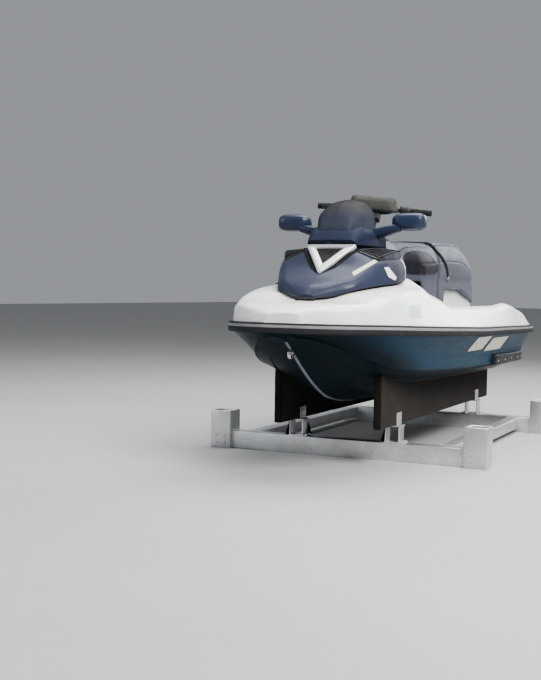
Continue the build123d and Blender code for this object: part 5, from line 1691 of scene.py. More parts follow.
def seam_fns(row_of, flap_of, start, cross, edge=0.97):
    def top_edge(x, s, z, n):
        d = np.abs(np.abs(x) - cols_at(row_of, s, 3) * edge)
        return np.where(n[:, 2] > 0.35, d, 1e3)

    def side(x, s, z, n):
        d = np.abs(z - (cols_at(row_of, s, 2) - 22))
        return np.where((np.abs(n[:, 0]) > 0.5) & (np.abs(x) > 140), d, 1e3)

    def hem(x, s, z, n):
        d = np.abs(z - (cols_at(flap_of, s, 0) + 15))
        ok = (np.abs(n[:, 0]) > 0.5) & (np.abs(x) > 222)
        if start:
            ok &= s > start + 30
        return np.where(ok, d, 1e3)

    fns = [(top_edge, 1.0, 1.0), (side, 0.8, 1.0), (hem, 0.5, 0.8)]
    for s0, dep in cross:
        def across(x, s, z, n, s0=s0):
            d = np.abs(s - s0)
            return np.where((n[:, 2] > 0.3) & (np.abs(x) < cols_at(row_of, s, 3) * edge + 3), d, 1e3)
        fns.append((across, dep, 1.15))
    return fns


def top_point(tree, x, s, up=1.5):
    loc, nor, _, _ = tree.ray_cast(Vector(P(x, s, up * 1000)), Vector((0, 0, -1)))
    return (loc, nor) if loc is not None else (None, None)


def side_point(tree, sgn, s, z):
    loc, nor, _, _ = tree.ray_cast(Vector(P(sgn * 420, s, z)), Vector((-sgn, 0, 0)))
    return (loc, nor) if loc is not None else (None, None)


def stitch_row(name, pts, normals, offset_dir, off, pitch=0.0062, length=0.0042, r=0.00055):
    """Short thread bars laid on the cover, off to one side of a seam."""
    bars = []
    acc = 0.0
    for i in range(len(pts) - 1):
        a, b = pts[i], pts[i + 1]
        seg = (b - a).length
        if seg < 1e-6:
            continue
        d = (b - a) / seg
        t = pitch - acc
        while t <= seg:
            n = normals[i]
            side = n.cross(d).normalized() * offset_dir
            c = a + d * t + side * off + n * 0.0002
            h = d * (length / 2)
            u = n * r
            w = side * r
            bars.append(([c - h, c - h * 0.7 + u, c + h * 0.7 + u, c + h], w))
            t += pitch
        acc = seg - (t - pitch)
    verts, faces = [], []
    for line, w in bars:
        n0 = len(verts)
        for p in line:
            verts += [tuple(p - w), tuple(p + w)]
        low = (line[0] + line[3]) / 2 - (line[1] - line[0]).normalized().cross(w).normalized() * 0.0
        verts += [tuple(line[0] - w * 0.5), tuple(line[3] - w * 0.5)]
        faces += [(n0, n0 + 1, n0 + 3, n0 + 2), (n0 + 2, n0 + 3, n0 + 5, n0 + 4), (n0 + 4, n0 + 5, n0 + 7, n0 + 6),
                  (n0, n0 + 2, n0 + 4, n0 + 6), (n0 + 1, n0 + 7, n0 + 5, n0 + 3), (n0, n0 + 6, n0 + 7, n0 + 1)]
        verts = verts[:-2]
    return mesh_from(name, verts, faces)


def seam_line(tree, row_of, s0, s1, sgn, edge=0.97, n=90):
    pts, nrm = [], []
    for i in range(n + 1):
        s = lerp(s0, s1, i / n)
        loc, nor = top_point(tree, sgn * row_of(s)[3] * edge, s)
        if loc is not None:
            pts.append(loc)
            nrm.append(nor)
    return pts, nrm


THREAD = moulded("seat_thread", (0.30, 0.31, 0.33), rough=0.7, grain=2400, depth=0.2)


def keep_seat(x, y, z):
    zz = z * 1000 - ZH
    return smooth01((zz - 712) / 40.0)


def make_seat(name, node, body, row_of, flap_of, s0, s1, r0, r1, start, back, voxel, cross, edge=0.97):
    o = seat_shape(name, row_of, flap_of, s0, s1, r0, r1, start, back)
    pad_up(o, voxel, 0.0045, keep_seat)
    press(o, seam_fns(row_of, flap_of, start, cross, edge), 3.2, 4.6)
    give(o, SEAT, body, "seat_vinyl", (node,))
    tree = bvh_of(o)
    pipes, threads = [], []
    for sgn in (1, -1):
        pts, nrm = seam_line(tree, row_of, s0 + 14, s1 - 14, sgn, edge)
        pipes.append(tube("pipe", [p + n * 0.0008 for p, n in zip(pts, nrm)], 0.0026, 8))
        threads.append(stitch_row("st", pts, nrm, 1, 0.0072))
        threads.append(stitch_row("st", pts, nrm, -1, 0.0072))
    for c0, dep in cross:
        w = row_of(c0)[3] * edge - 8
        pts, nrm = [], []
        for i in range(61):
            loc, nor = top_point(tree, lerp(-w, w, i / 60), c0)
            if loc is not None:
                pts.append(loc)
                nrm.append(nor)
        threads.append(stitch_row("st", pts, nrm, 1, 0.0056))
        threads.append(stitch_row("st", pts, nrm, -1, 0.0056))
    pp = join(name + "_piping", pipes)
    shade(pp, 60)
    give(pp, SEAT_DARK, body, "seat_vinyl")
    th = join(name + "_stitching", threads)
    tidy(th)
    give(th, THREAD, body, "seat_vinyl")
    return o, tree


seat_f, seat_f_tree = make_seat("driver_cushion", "driver_seat", "front_seat", driver_at, FLAP_D, 1402.5, 1863.5, 26, 15, 1560, False,
                                0.0078, [(1500, 0.8)])


def rounded(poly, n=3):
    for _ in range(n):
        out = []
        for i in range(len(poly)):
            (a, b), (c, d) = poly[i], poly[(i + 1) % len(poly)]
            out += [(a * 0.75 + c * 0.25, b * 0.75 + d * 0.25), (a * 0.25 + c * 0.75, b * 0.25 + d * 0.75)]
        poly = out
    return poly


# painted shade: a dark vinyl patch with a dark rim on each side of the driver's seat stands for the shade on the seat's
# curved side
SEAT_SHADE_OUTLINE = rounded([(1424, 748), (1414, 800), (1432, 866), (1500, 884), (1600, 886), (1700, 878), (1748, 846), (1838, 800), (1842, 768), (1790, 750), (1640, 748), (1520, 744)])
shade_patches, shade_patch_rims = [], []
for sgn in (1, -1):
    shade_patches.append(decal("seat_side_shade_patch", seat_f_tree, [((s - HALF) / 1000, (z + ZH) / 1000) for s, z in SEAT_SHADE_OUTLINE], (-sgn, 0, 0),
                       lambda u, v, sgn=sgn: (sgn * 0.6, u, v), step=0.008, lift=0.0007, thick=0.0012))
    line = []
    for s, z in SEAT_SHADE_OUTLINE + SEAT_SHADE_OUTLINE[:1]:
        loc, nor = side_point(seat_f_tree, sgn, s, z)
        if loc is not None:
            line.append(loc + nor * 0.0012)
    shade_patch_rims.append(tube("shade_patch_rims", line, 0.0022, 8))
give(join("driver_seat_shade_patches", shade_patches), SEAT_DARK, "front_seat", "seat_vinyl")
kp = join("driver_seat_shade_piping", shade_patch_rims)
shade(kp, 60)
give(kp, SEAT_DARK, "front_seat", "seat_vinyl")
seat_r, seat_r_tree = make_seat("passenger_cushion", "passenger_seat", "rear_seat", passenger_at, FLAP_P, 1874.5, 2813.5, 15, 32, None, True,
                                0.0094, [(2070, 0.9), (2300, 0.9), (2500, 0.9)])
give(from_cad("driver_seat_base", "driver_seat_pan", 0.002, 2), BLACK, "front_seat", "black_plastic", ("driver_seat_base",))
give(from_cad("passenger_seat_base", "passenger_seat_pan", 0.002, 2), BLACK, "rear_seat", "black_plastic", ("passenger_seat_base",))


# hand strap over the passenger cushion
def webbing(name, color):
    m = Mat(name, color, 0.85, Sheen_Weight=0.03, Sheen_Roughness=0.5, Specular_IOR_Level=0.1)
    w1 = m.wave(330, (1, 1, 1), axis="X")
    w2 = m.wave(330, (1, 1, 1), axis="Y")
    w3 = m.wave(330, (1, 1, 1), axis="Z")
    mixw = m.mul(m.mul(w1, w2), m.fit(w3, 0.5, 1.0, 0, 1))
    base = m.ramp(mixw, (0.0, shift(color, 0.55)), (0.5, shift(color, 1.5)))
    fuzz = m.fit(m.noise(80, 6, 0.7), 0.0, 0.3, 0.5, 0.75)
    m.use_color(m.mix(fuzz, base, shift(color, 1.8)))
    m.bump(mixw, 0.6, 0.0006)
    m.bump(m.noise(1500, 3, 0.6), 0.25, 0.0003)
    return m.m


WEB = webbing("strap_webbing", (0.0065, 0.0065, 0.0085))


def strap_line(tree):
    pts, nrm = [], []

    def add(loc, nor):
        if loc is not None:
            pts.append(loc)
            nrm.append(nor)
    side_rows = [(2096, 716), (2086, 735), (2070, 762), (2048, 790), (2014, 815), (1972, 840), (1934, 862), (1905, 884), (1894, 905)]
    for s, z in side_rows:
        add(*side_point(tree, 1, s, z))
    for x in (196, 184, 168, 150, 120, 80, 40, 0, -40, -80, -120, -150, -168, -184, -196):
        add(*top_point(tree, x, 1893))
    for s, z in reversed(side_rows):
        add(*side_point(tree, -1, s, z))
    return pts, nrm


sp, sn = strap_line(seat_r_tree)
smooth_pts = curve_points([tuple(p) for p in sp], 5)
ring_list = []
n_pts = len(smooth_pts)
for i, p in enumerate(smooth_pts):
    p = Vector(p)
    loc, nor, _, _ = seat_r_tree.find_nearest(p)
    # a soft normal keeps the band from twisting in the seams
    near = [sn[min(len(sn) - 1, max(0, int(i / 5) + k))] for k in (-1, 0, 1)]
    n = (near[0] + near[1] * 2 + near[2] + nor).normalized()
    a, b = Vector(smooth_pts[max(i - 1, 0)]), Vector(smooth_pts[min(i + 1, n_pts - 1)])
    d = (b - a).normalized()
    side = n.cross(d).normalized()
    n = d.cross(side).normalized()
    if n.dot(nor) < 0:
        n = -n
    base = loc + nor * 0.0006
    hw, th = 0.0165, 0.0026
    prof = [(-hw, 0.0), (-hw, th * 0.6), (-hw + 0.0012, th), (-hw * 0.5, th * 1.05), (0, th * 1.05), (hw * 0.5, th * 1.05), (hw - 0.0012, th), (hw, th * 0.6), (hw, 0.0), (0, -0.0004)]
    ring_list.append([tuple(base + side * u + n * v) for u, v in prof])
strap = loft("hand_strap", ring_list, True, True, 50)
give(strap, WEB, "rear_seat", "strap_webbing", ("seat_strap",))
strap_tree = bvh_of(strap)
ends = []
for sgn in (1, -1):
    loc, nor = side_point(strap_tree, sgn, 2090, 726)
    if loc is None:
        loc, nor = side_point(seat_r_tree, sgn, 2090, 726)
    d = Vector((0, 0.42, -0.9)).normalized()
    side = nor.cross(d).normalized()
    loop = round_poly([(-19, -11), (19, -11), (19, 11), (-19, 11)], 5, 4, 4)
    ends.append(bevelled(loft("plate", [[tuple(loc + side * (u / 1000) + d * (v / 1000) + nor * h) for u, v in loop] for h in (-0.001, 0.0022)], angle=30), 0.0006, 2))
    ends.append(bolt(loc + nor * 0.0022, nor, 0.0055, 0.0035, sides=24))
give(join("strap_anchors", ends), STEEL, "rear_seat", "stainless")

# grab handle behind the pedestal
bar = [P(*p) for p in soft_line([(-125, 2890, 424), (-125, 2866, 640), (125, 2866, 640), (125, 2890, 424)], [0, 58, 58, 0], [8, 8, 8], 9)]
handle = tube("handle", bar, 0.014, 24)
feet = []
for x in (-125, 125):
    feet.append(lathe("foot", P(x, 2890, 428), P(x, 2889, 436), [(0, 26), (6, 26), (8.5, 24), (9.5, 18), (16, 14.6)], 32, 35))
    for k in range(3):
        a = 2 * math.pi * k / 3 + 0.5
        feet.append(bolt(P(x + 20.5 * math.cos(a), 2890 + 20.5 * math.sin(a), 436), (0, 0, 1), 0.0032, 0.0022, sides=24))
gh = join("rear_grab_bar", [handle] + feet)
shade(gh, 45)
give(gh, BLACK, "root", "black_plastic", ("grab_handle",))


# ------------------------------------------------------------------ mats
def pad_cells(name, corner_of, nu, nv, gap_u, gap_v, height, inset, sink=0.2):
    """Raised, chamfered pads in a grid; corner_of(u, v, h) gives a point."""
    verts, faces = [], []
    for i in range(nu):
        for j in range(nv):
            u0, u1 = (i + gap_u) / nu, (i + 1 - gap_u) / nu
            v0, v1 = (j + gap_v) / nv, (j + 1 - gap_v) / nv
            n0 = len(verts)
            du, dv = inset[0] / nu, inset[1] / nv
            for (a, b, c, e, h) in ((u0, u1, v0, v1, -sink), (u0, u1, v0, v1, height * 0.45), (u0 + du, u1 - du, v0 + dv, v1 - dv, height)):
                verts += [corner_of(a, c, h), corner_of(b, c, h), corner_of(b, e, h), corner_of(a, e, h)]
            faces.append((n0 + 3, n0 + 2, n0 + 1, n0))
            for k in (0, 4):
                for q in range(4):
                    r = (q + 1) % 4
                    faces.append((n0 + k + q, n0 + k + r, n0 + k + 4 + r, n0 + k + 4 + q))
            faces.append((n0 + 8, n0 + 9, n0 + 10, n0 + 11))
    o = mesh_from(name, verts, faces)
    return tidy(o)


mats = []
for sgn in (1, -1):
    def floor_pt(u, v, h, sgn=sgn):
        s = lerp(1322, 2754, u)
        dk = deck_at(s)
        x = lerp(dk[4], dk[6], lerp(0.06, 0.94, v))
        z = lerp(dk[5], dk[7], lerp(0.06, 0.94, v))
        return P(sgn * x, s, z + h)
    rings = []
    for s_i in range(41):
        u = s_i / 40
        rings.append([floor_pt(u, 0, 0.1), floor_pt(u, 1, 0.1), floor_pt(u, 1, 2.4), floor_pt(u, 0.985, 3.2), floor_pt(u, 0.015, 3.2), floor_pt(u, 0, 2.4)])
    mats.append(loft("slab", rings, angle=30))
    mats.append(pad_cells("cells", lambda u, v, h: floor_pt(lerp(0.008, 0.992, u), lerp(0.04, 0.96, v), 3.0 + h), 42, 6, 0.09, 0.09, 2.7, (0.05, 0.05)))
fm_o = join("footwell_traction_mats", mats)
shade(fm_o, 30)
give(fm_o, FOAM, "root", "mat_foam", ("footwell_mats",))


def plat_z(x, s):
    dk = deck_at(s)
    xs = [0, dk[8], dk[6], lerp(dk[4], dk[6], 0.3)]
    zs = [dk[10], dk[9], dk[7], lerp(dk[5], dk[7], 0.3)]
    return float(np.interp(abs(x), xs, zs))


def plat_pt(u, v, h):
    s = lerp(2960, 3230, v)
    dk = deck_at(s)
    w = lerp(dk[4], dk[6], 0.3)
    x = lerp(-w, w, u)
    return P(x, s, plat_z(x, s) + h)


rings = []
for i in range(15):
    v = i / 14
    row = [plat_pt(k / 24, v, 0.1) for k in range(25)] + [plat_pt(1 - k / 24, v, 3.2) for k in range(25)]
    rings.append(row)
slab = loft("slab", rings, angle=30)
cells = pad_cells("cells", lambda u, v, h: plat_pt(lerp(0.012, 0.988, u), lerp(0.03, 0.97, v), 3.0 + h), 24, 8, 0.08, 0.09, 2.7, (0.05, 0.05))
pm = join("platform_traction_mat", [slab, cells])
shade(pm, 30)
give(pm, FOAM, "root", "mat_foam", ("platform_mat",))

# fuel cap
cd = Vector((-0.42, 0, 0.9)).normalized()
cp = Vector(P(-408, 900, 668))
base = lathe("cap_base", cp - cd * 0.018, cp, [(0, 40), (4, 43.6), (24, 43.8), (27, 42.6), (28.5, 40), (28.5, 37)], 48, 35)
a, b = cd.orthogonal().normalized(), None
b = cd.cross(a)
rings = []
for t, rr, lob in [(8, 36, 0), (10, 37.5, 1), (15, 37.5, 1), (16.6, 36, 1), (17.6, 33, 0.3), (17.6, 27, 0), (15.2, 26, 0), (15.2, 4, 0)]:
    ring = []
    for k in range(96):
        ang = 2 * math.pi * k / 96
        q = rr - lob * 1.5 * (0.5 + 0.5 * math.cos(ang * 12)) ** 2
        ring.append(tuple(cp + cd * (t / 1000) + (a * math.cos(ang) + b * math.sin(ang)) * (q / 1000)))
    rings.append(ring)
cap_top = loft("cap_top", rings, angle=35)
w = [cp + cd * 0.0152 + a * (q / 1000) for q in (-24, -8, 8, 24)]
gripbar = tube("cap_bar", w, 0.0045, 12, radii=[0.003, 0.0022, 0.0022, 0.003])
fc = join("fuel_filler_cap", [base, cap_top, gripbar])
shade(fc, 35)
give(fc, BLACK, "root", "black_plastic", ("fuel_cap",))


# ------------------------------------------------------------------ jet drive
PZ = 155.0
pump = from_cad("jet_pump", "jet_pump_casting", 0.0012, 2)
extra = []
for k in range(12):
    a = 2 * math.pi * (k + 0.5) / 12
    extra.append(bolt(P(104 * math.cos(a), 2804, PZ + 104 * math.sin(a)), (0, 1, 0), 0.005, 0.005))
for s in (2850, 2930, 3010):
    rings = [[P(r * math.cos(2 * math.pi * k / 56), s + d, PZ + r * math.sin(2 * math.pi * k / 56)) for k in range(56)] for r, d in ((89.6, -5), (92.4, -3.6), (93, 0), (92.4, 3.6), (89.6, 5))]
    extra.append(loft("rib", rings, True, True, 35))
pump = join("jet_pump_casting", [pump] + extra)
shade(pump, 38)
give(pump, CAST, "root", "cast_alloy", ("jet_pump",))

hub = lathe("hub", P(0, 2130, PZ), P(0, 2200, PZ), [(0, 8), (2, 11.2), (4, 11.8), (700, 11.8), (716, 20), (740, 23), (790, 27.5), (812, 28.8), (819, 26), (820, 12)], 36, 35)
blades = [hub]
for b_i in range(4):
    a0 = 2 * math.pi * b_i / 4
    nu, nv = 14, 8
    sides2 = []
    for off in (1, -1):
        grid = []
        for i in range(nu + 1):
            u = i / nu
            row = []
            for j in range(nv + 1):
                v = j / nv
                rr = lerp(22, 72.4, v)
                ang = a0 + math.radians(82) * u - math.radians(14) * v
                s = 2870 + 62 * u
                th = 2.0 * (1 - 0.55 * v) * math.sin(math.pi * min(max(u, 0.04), 0.96)) ** 0.5
                ang2 = ang + off * th / rr
                row.append((rr * math.cos(ang2), s + off * th * 0.6, PZ + rr * math.sin(ang2)))
            grid.append(row)
        sides2.append(grid)
    rings = []
    for i in range(nu + 1):
        rings.append([P(*p) for p in sides2[0][i]] + [P(*p) for p in reversed(sides2[1][i])])
    blades.append(loft("blade", rings, angle=35))
imp = join("impeller_wheel", blades)
shade(imp, 38)
give(imp, STEEL, "impeller", "stainless", ("impeller",))


def ring_at(s, r, n=56):
    return [P(r * math.cos(2 * math.pi * k / n), s, PZ + r * math.sin(2 * math.pi * k / n)) for k in range(n)]


def cone_r(s, a, b):
    return lerp(a, b, (s - 3112) / 124.0)


prof = [(3112.2, 62.4), (3112.0, 67.0), (3114, 67.9), (3122, cone_r(3122, 67.9, 49.9)), (3160, cone_r(3160, 67.9, 49.9)), (3162, cone_r(3160, 67.9, 49.9) + 1.4),
        (3168, cone_r(3168, 67.9, 49.9) + 1.4), (3170, cone_r(3170, 67.9, 49.9)), (3224, cone_r(3224, 67.9, 49.9)), (3226, 52.2), (3233, 51.6), (3236, 48.4), (3236, 44.4), (3234, 43.3), (3180, cone_r(3180, 62, 43.2)), (3112.2, 62.0)]
rings = [ring_at(s, r) for s, r in prof]
noz = loft("nozzle", rings + [rings[0]], True, False, 35)
pins = []
for k in (1, -1):
    pins.append(lathe("pin", P(0, 3132, PZ + k * 60), P(0, 3132, PZ + k * 100), [(0, 7.8), (25, 7.8), (26, 6.8)], 28, 35))
arm_l = bevelled(block("arm", -74, -60, 3124, 3142, PZ - 9, PZ + 9), 0.003, 2)
noz = join("steering_nozzle_cone", [noz, arm_l] + pins)
NT = Vector(P(0, 3132, PZ))
noz.data.transform(Matrix.Translation(NT) @ Matrix.Rotation(math.radians(-8.1), 4, (0, 0, 1)) @ Matrix.Translation(-NT))
shade(noz, 38)
give(noz, CAST, "nozzle", "cast_alloy", ("steering_nozzle",))
give(from_cad("reverse_gate", "reverse_bucket", 0.0022, 3), CAST, "gate", "cast_alloy", ("reverse_gate",))

rp = from_cad("ride_plate", "ride_plate_panel", 0.003, 3)
ex = []
for x in (-104, 104):
    for s in (2810, 2920, 3040, 3160):
        ex.append(bolt(P(x, s, 3.4), (0, 0, -1), 0.0055, 0.003, sides=24, washer=1.2))
rp = join("ride_plate_panel", [rp] + ex)
shade(rp, 38)
give(rp, CAST, "root", "cast_alloy", ("ride_plate",))
give(from_cad("intake_grate", "intake_grate_bars", 0.0018, 2), CAST, "root", "cast_alloy", ("intake_grate",))

# ------------------------------------------------------------------ stern and bow fittings
give(from_cad("step_hinge", "step_hinge_plate", 0.0012, 2), STEEL, "root", "stainless", ("step_hinge",))
stp = from_cad("boarding_step", "boarding_step_frame", 0.0028, 3)
give(stp, BLACK, "step", "black_plastic", ("boarding_step",))
tread = []
for i in range(9):
    x0 = 213 + i * 20.5
    tread.append(bevelled(block("t", x0, x0 + 14, 3241.6, 3245, 317, 353), 0.001, 2))
give(join("step_tread", tread), GRIP, "step", "grip_rubber")
give(from_cad("bow_eye", "bow_towing_eye", 0.0016, 3), STEEL, "root", "stainless", ("bow_eye",))
se = from_cad("stern_eyes", "stern_towing_eyes", 0.0014, 2)
ex = []
for x, z in ((455, 298), (-455, 298), (0, 341)):
    for dx in (-15, 15):
        for dz in (-20, 20):
            ex.append(bolt(P(x + dx, 3236, z + dz), (0, 1, 0), 0.0034, 0.0022, sides=24))
se = join("stern_towing_eyes", [se] + ex)
shade(se, 38)
give(se, STEEL, "root", "stainless", ("stern_eyes",))

spo = from_cad("sponsons", "side_sponsons", 0.006, 3, 20)
spo_tree = bvh_of(spo)
ex = []
for sgn in (1, -1):
    for s in (2360, 2560, 2760, 2960, 3100):
        loc, nor = on_surface(spo_tree, P(sgn * 700, s, 190), (-sgn, 0, 0))
        if loc is not None:
            ex.append(bolt(loc, nor, 0.005, 0.003, sides=24))
give(spo, BLACK, "root", "black_plastic", ("sponsons",))
give(join("sponson_bolts", ex), STEEL, "root", "stainless")

# transom fittings: drain plugs and cooling outlets
ex, ex2 = [], []
for x in (-330, 330):
    ex2.append(lathe("plug", P(x, 3229, 205), P(x, 3240, 205), [(0, 20), (2.5, 20), (3.5, 18.5), (3.6, 14), (9, 13), (10, 11)], 32, 35))
    ex2.append(bevelled(block("wing", x - 3, x + 3, 3238, 3244, 196, 214), 0.001, 2))
for x, z in ((-250, 330), (250, 330)):
    rings = [[P(x + r * math.cos(2 * math.pi * k / 32), s, z + r * math.sin(2 * math.pi * k / 32)) for k in range(32)] for r, s in ((17, 3229), (17, 3233), (15, 3235), (10, 3235.5), (9, 3234), (9, 3229.5))]
    ex.append(loft("outlet", rings + [rings[0]], True, False, 35))
give(join("drain_plugs", ex2), BLACK, "root", "black_plastic")
give(join("cooling_outlets", ex), STEEL, "root", "stainless")

# ------------------------------------------------------------------ engine
parts_a, parts_b, parts_c = [], [], []


def soft_block(x0, x1, s0, s1, z0, z1, b=0.006, seg=3):
    return bevelled(block("b", x0, x1, s0, s1, z0, z1), b, seg)


parts_a.append(soft_block(-112, 112, 1545, 2055, 122, 300, 0.014))
parts_a.append(soft_block(-144, 144, 1560, 2040, 186, 206, 0.004))
parts_a.append(soft_block(-84, 62, 1575, 2025, 296, 400, 0.010))
for i in range(6):
    parts_a.append(soft_block(-118, 118, 1580 + i * 86, 1592 + i * 86, 130, 290, 0.003, 2))
for s in (1640, 1800, 1960):
    parts_a.append(lathe("port", P(60, s, 350), P(130, s, 330), [(0, 24), (20, 22), (70, 22)], 28, 35))
parts_a.append(tube("manifold", curve_points([P(126, 1590, 328), P(128, 1700, 332), P(128, 1860, 332), P(124, 1990, 320), P(96, 2050, 270)], 8), 0.0165, 22))
parts_b.append(soft_block(-74, 50, 1590, 2010, 396, 428, 0.010))
for s in (1650, 1800, 1950):
    parts_b.append(soft_block(-34, 10, s - 26, s + 26, 424, 456, 0.008))
parts_b.append(soft_block(-142, -92, 1600, 1960, 330, 470, 0.020, 4))
parts_b.append(soft_block(-60, 110, 1525, 1572, 300, 500, 0.012, 3))
for s in (1660, 1800, 1940):
    parts_b.append(tube("runner", curve_points([P(-76, s, 366), P(-98, s, 376), P(-118, s, 372)], 8), 0.017, 20))
parts_c.append(lathe("filler", P(20, 1900, 424), P(20, 1900, 470), [(0, 20), (22, 20), (24, 24), (38, 24), (41, 21)], 32, 35))
parts_c.append(tube("hose", curve_points([P(70, 1560, 470), P(92, 1610, 505), P(60, 1700, 486), P(86, 1830, 470), P(70, 1900, 420)], 10), 0.011, 16))
parts_c.append(tube("hose", curve_points([P(-110, 1570, 250), P(-134, 1640, 280), P(-130, 1760, 262), P(-134, 1900, 290), P(-100, 2030, 240)], 10), 0.009, 16))
parts_c.append(lathe("coupling", P(0, 2052, 155), P(0, 2080, 155), [(0, 44), (8, 46), (22, 46), (27, 40)], 40, 35))
for x in (-128, 128):
    for s in (1600, 2000):
        parts_c.append(lathe("mount", P(x, s, 122), P(x, s, 190), [(0, 14), (12, 14), (16, 12), (50, 12), (52, 9), (66, 9)], 24, 35))
for s in (1620, 1720, 1820, 1920):
    for x in (-66, 42):
        parts_c.append(bolt(P(x, s, 428), (0, 0, 1), 0.0045, 0.004))
eng = join("engine_castings", parts_a)
shade(eng, 38)
give(eng, CAST, "root", "engine_block", ("engine",))
engb = join("engine_covers", parts_b)
shade(engb, 40)
give(engb, BLACK, "root", "black_plastic")
engc = join("engine_hoses", parts_c)
shade(engc, 40)
give(engc, BUMPER, "root", "bumper_rubber")

# ------------------------------------------------------------------ cradle
bunk = new_object("bunk_carpeted_boards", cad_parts["bunk_boards"].data.copy())
m = bunk.modifiers.new("vox", "REMESH")
m.mode = "VOXEL"
m.voxel_size = 0.0078
bake_mods(bunk)
sm = bunk.modifiers.new("smooth", "SMOOTH")
sm.factor = 0.5
sm.iterations = 2
bake_mods(bunk)
tex = bpy.data.textures.new("carpet_lumps", "CLOUDS")
tex.noise_scale = 0.035
dm = bunk.modifiers.new("lumps", "DISPLACE")
dm.texture = tex
dm.texture_coords = "LOCAL"
dm.strength = 0.0026
dm.mid_level = 0.75
bake_mods(bunk)
bunk.data.shade_smooth()
give(bunk, CARPET, "root", "bunk_carpet", ("bunk_boards",))

beams = from_cad("cradle_beams", "cradle_frame", 0.004, 3)
give(beams, ALU_X, "root", "aluminium", ("cradle_beams",))
give(from_cad("post_sleeves", "lift_post_sleeves", 0.004, 3), ALU, "root", "aluminium", ("post_sleeves",))
give(from_cad("bunk_brackets", "bunk_bracket_frames", 0.002, 2), ALU, "root", "aluminium", ("bunk_brackets",))
ex = []
for s in (905, 2605):
    for k in (1, -1):
        xc = k * 290
        for dx in (-58, 58):
            for ds in (-26, 26):
                ex.append(bolt(P(xc + dx, s + ds, -192), (0, 0, 1), 0.0065, 0.006))
        for side in (1, -1):
            for ds in (-22, 22):
                ex.append(bolt(P(xc + side * 28.5, s + ds, -62), (side, 0, 0), 0.006, 0.005))
        for ds in (-26, 26):
            for z in (-270, -228):
                ex.append(bolt(P(k * 765 + ds, s - 65, z), (0, -1, 0), 0.0065, 0.006))
                ex.append(bolt(P(k * 765 + ds, s + 65, z), (0, 1, 0), 0.0065, 0.006))
give(join("cradle_bolts", ex), STEEL, "root", "stainless")


def weld(name, path, r=0.0042, pitch=0.005):
    """A run of overlapping weld ripples."""
    pts = []
    radii = []
    for a, b in zip(path, path[1:]):
        a, b = Vector(a), Vector(b)
        n = max(2, int((b - a).length / (pitch / 3)))
        for i in range(n):
            pts.append(a.lerp(b, i / n))
            radii.append(r * (0.86 + 0.14 * math.cos(2 * math.pi * (i % 3) / 3)))
    pts.append(Vector(path[-1]))
    radii.append(r)
    return tube(name, pts, r, 8, radii=radii)


welds = []
for s, k2 in ((905 + 45, 1), (2605 - 45, -1)):
    for k in (1, -1):
        for x in (545, 625):
            welds.append(weld("w", [P(k * x, s, -268), P(k * x, s, -202)]))
        welds.append(weld("w", [P(k * 547, s, -200.5), P(k * 623, s, -200.5)]))
for s in (905, 2605):
    for k in (1, -1):
        for ds in (-45, 45):
            welds.append(weld("w", [P(k * 699, s + ds, -298), P(k * 699, s + ds, -202)]))
        welds.append(weld("w", [P(k * 699, s - 44, -200.5), P(k * 699, s + 44, -200.5)]))
wl = join("cradle_welds", welds)
shade(wl, 60)
give(wl, ALU, "root", "aluminium")

# ------------------------------------------------------------------ trim on the craft
def patch(name, tree, outline, step, lift=0.0005, thick=0.0007, mirror=False):
    """A flat tape or plate: an outline seen from the camera, dropped onto a surface."""
    pts = np.array(outline, float)
    lo, hi = pts.min(0), pts.max(0)
    bm = bmesh.new()
    bm.faces.new([bm.verts.new((p[0], p[1], 0)) for p in pts])
    for ax in (0, 1):
        k = lo[ax] + step
        while k < hi[ax] - 1e-6:
            co = [0, 0, 0]
            no = [0, 0, 0]
            co[ax], no[ax] = k, 1
            bmesh.ops.bisect_plane(bm, geom=bm.verts[:] + bm.edges[:] + bm.faces[:], plane_co=co, plane_no=no)
            k += step
    bad = []
    for v in bm.verts:
        loc, nor, _, _ = tree.ray_cast(CAM_POS, sight(v.co.x, v.co.y))
        if loc is None:
            bad.append(v)
            continue
        if nor.dot(sight(v.co.x, v.co.y)) > 0:
            nor = -nor
        v.co = loc + nor * lift
    if bad:
        bmesh.ops.delete(bm, geom=bad, context="VERTS")
    bm.faces.ensure_lookup_table()
    bmesh.ops.recalc_face_normals(bm, faces=bm.faces)
    if len(bm.faces) and sum(f.normal.dot(CAM_POS - f.calc_center_median()) * f.calc_area() for f in bm.faces) < 0:
        bmesh.ops.reverse_faces(bm, faces=bm.faces[:])
    me = bpy.data.meshes.new(name)
    bm.to_mesh(me)
    bm.free()
    o = new_object(name, me)
    mod = o.modifiers.new("thick", "SOLIDIFY")
    mod.thickness = thick
    mod.offset = 1.0
    bake_mods(o)
    if mirror:
        c = new_object(name, o.data.copy())
        c.data.transform(Matrix.Scale(-1, 4, (1, 0, 0)))
        c.data.flip_normals()
        o = join(name, [o, c])
    return shade(o, 40)


stripe = patch("hood_stripe", hood_panel_tree, [(352, 272.5), (379, 257.0), (381, 259.8), (354, 276)], 2.2)
give(stripe, CREAM, "hood", "silver_trim")
WHITE_TAPE = gelcoat("white_tape", (0.78, 0.78, 0.78), rough=0.4, grime=0.1, coat=0.1)
give(patch("hood_white_tape", hood_panel_tree, [(384.2, 267.5), (388.5, 267), (396.5, 277.5), (395, 280.5), (388.5, 277)], 2.0), WHITE_TAPE, "hood", "silver_trim")
sq = []
for cols in ((472.5, 485.0), (488.0, 502.0)):
    ends = [hull_tree.ray_cast(CAM_POS, sight(x, 344.5))[0] for x in cols]
    if all(e is not None for e in ends):
        for sgn in (1, -1):
            y0, y1 = ends[0].y, ends[1].y
            z0, z1 = ends[0].z - 0.043, ends[0].z + 0.043
            sq.append(decal("plate", hull_tree, [(y0, z0), (y1, z0), (y1 + 0.02, z1), (y0 + 0.02, z1)], (-sgn, 0, 0),
                            lambda u, v, sgn=sgn: (sgn * 1.2, u, v), step=0.02))
give(join("hull_plain_plates", sq), CREAM, "root", "silver_trim")
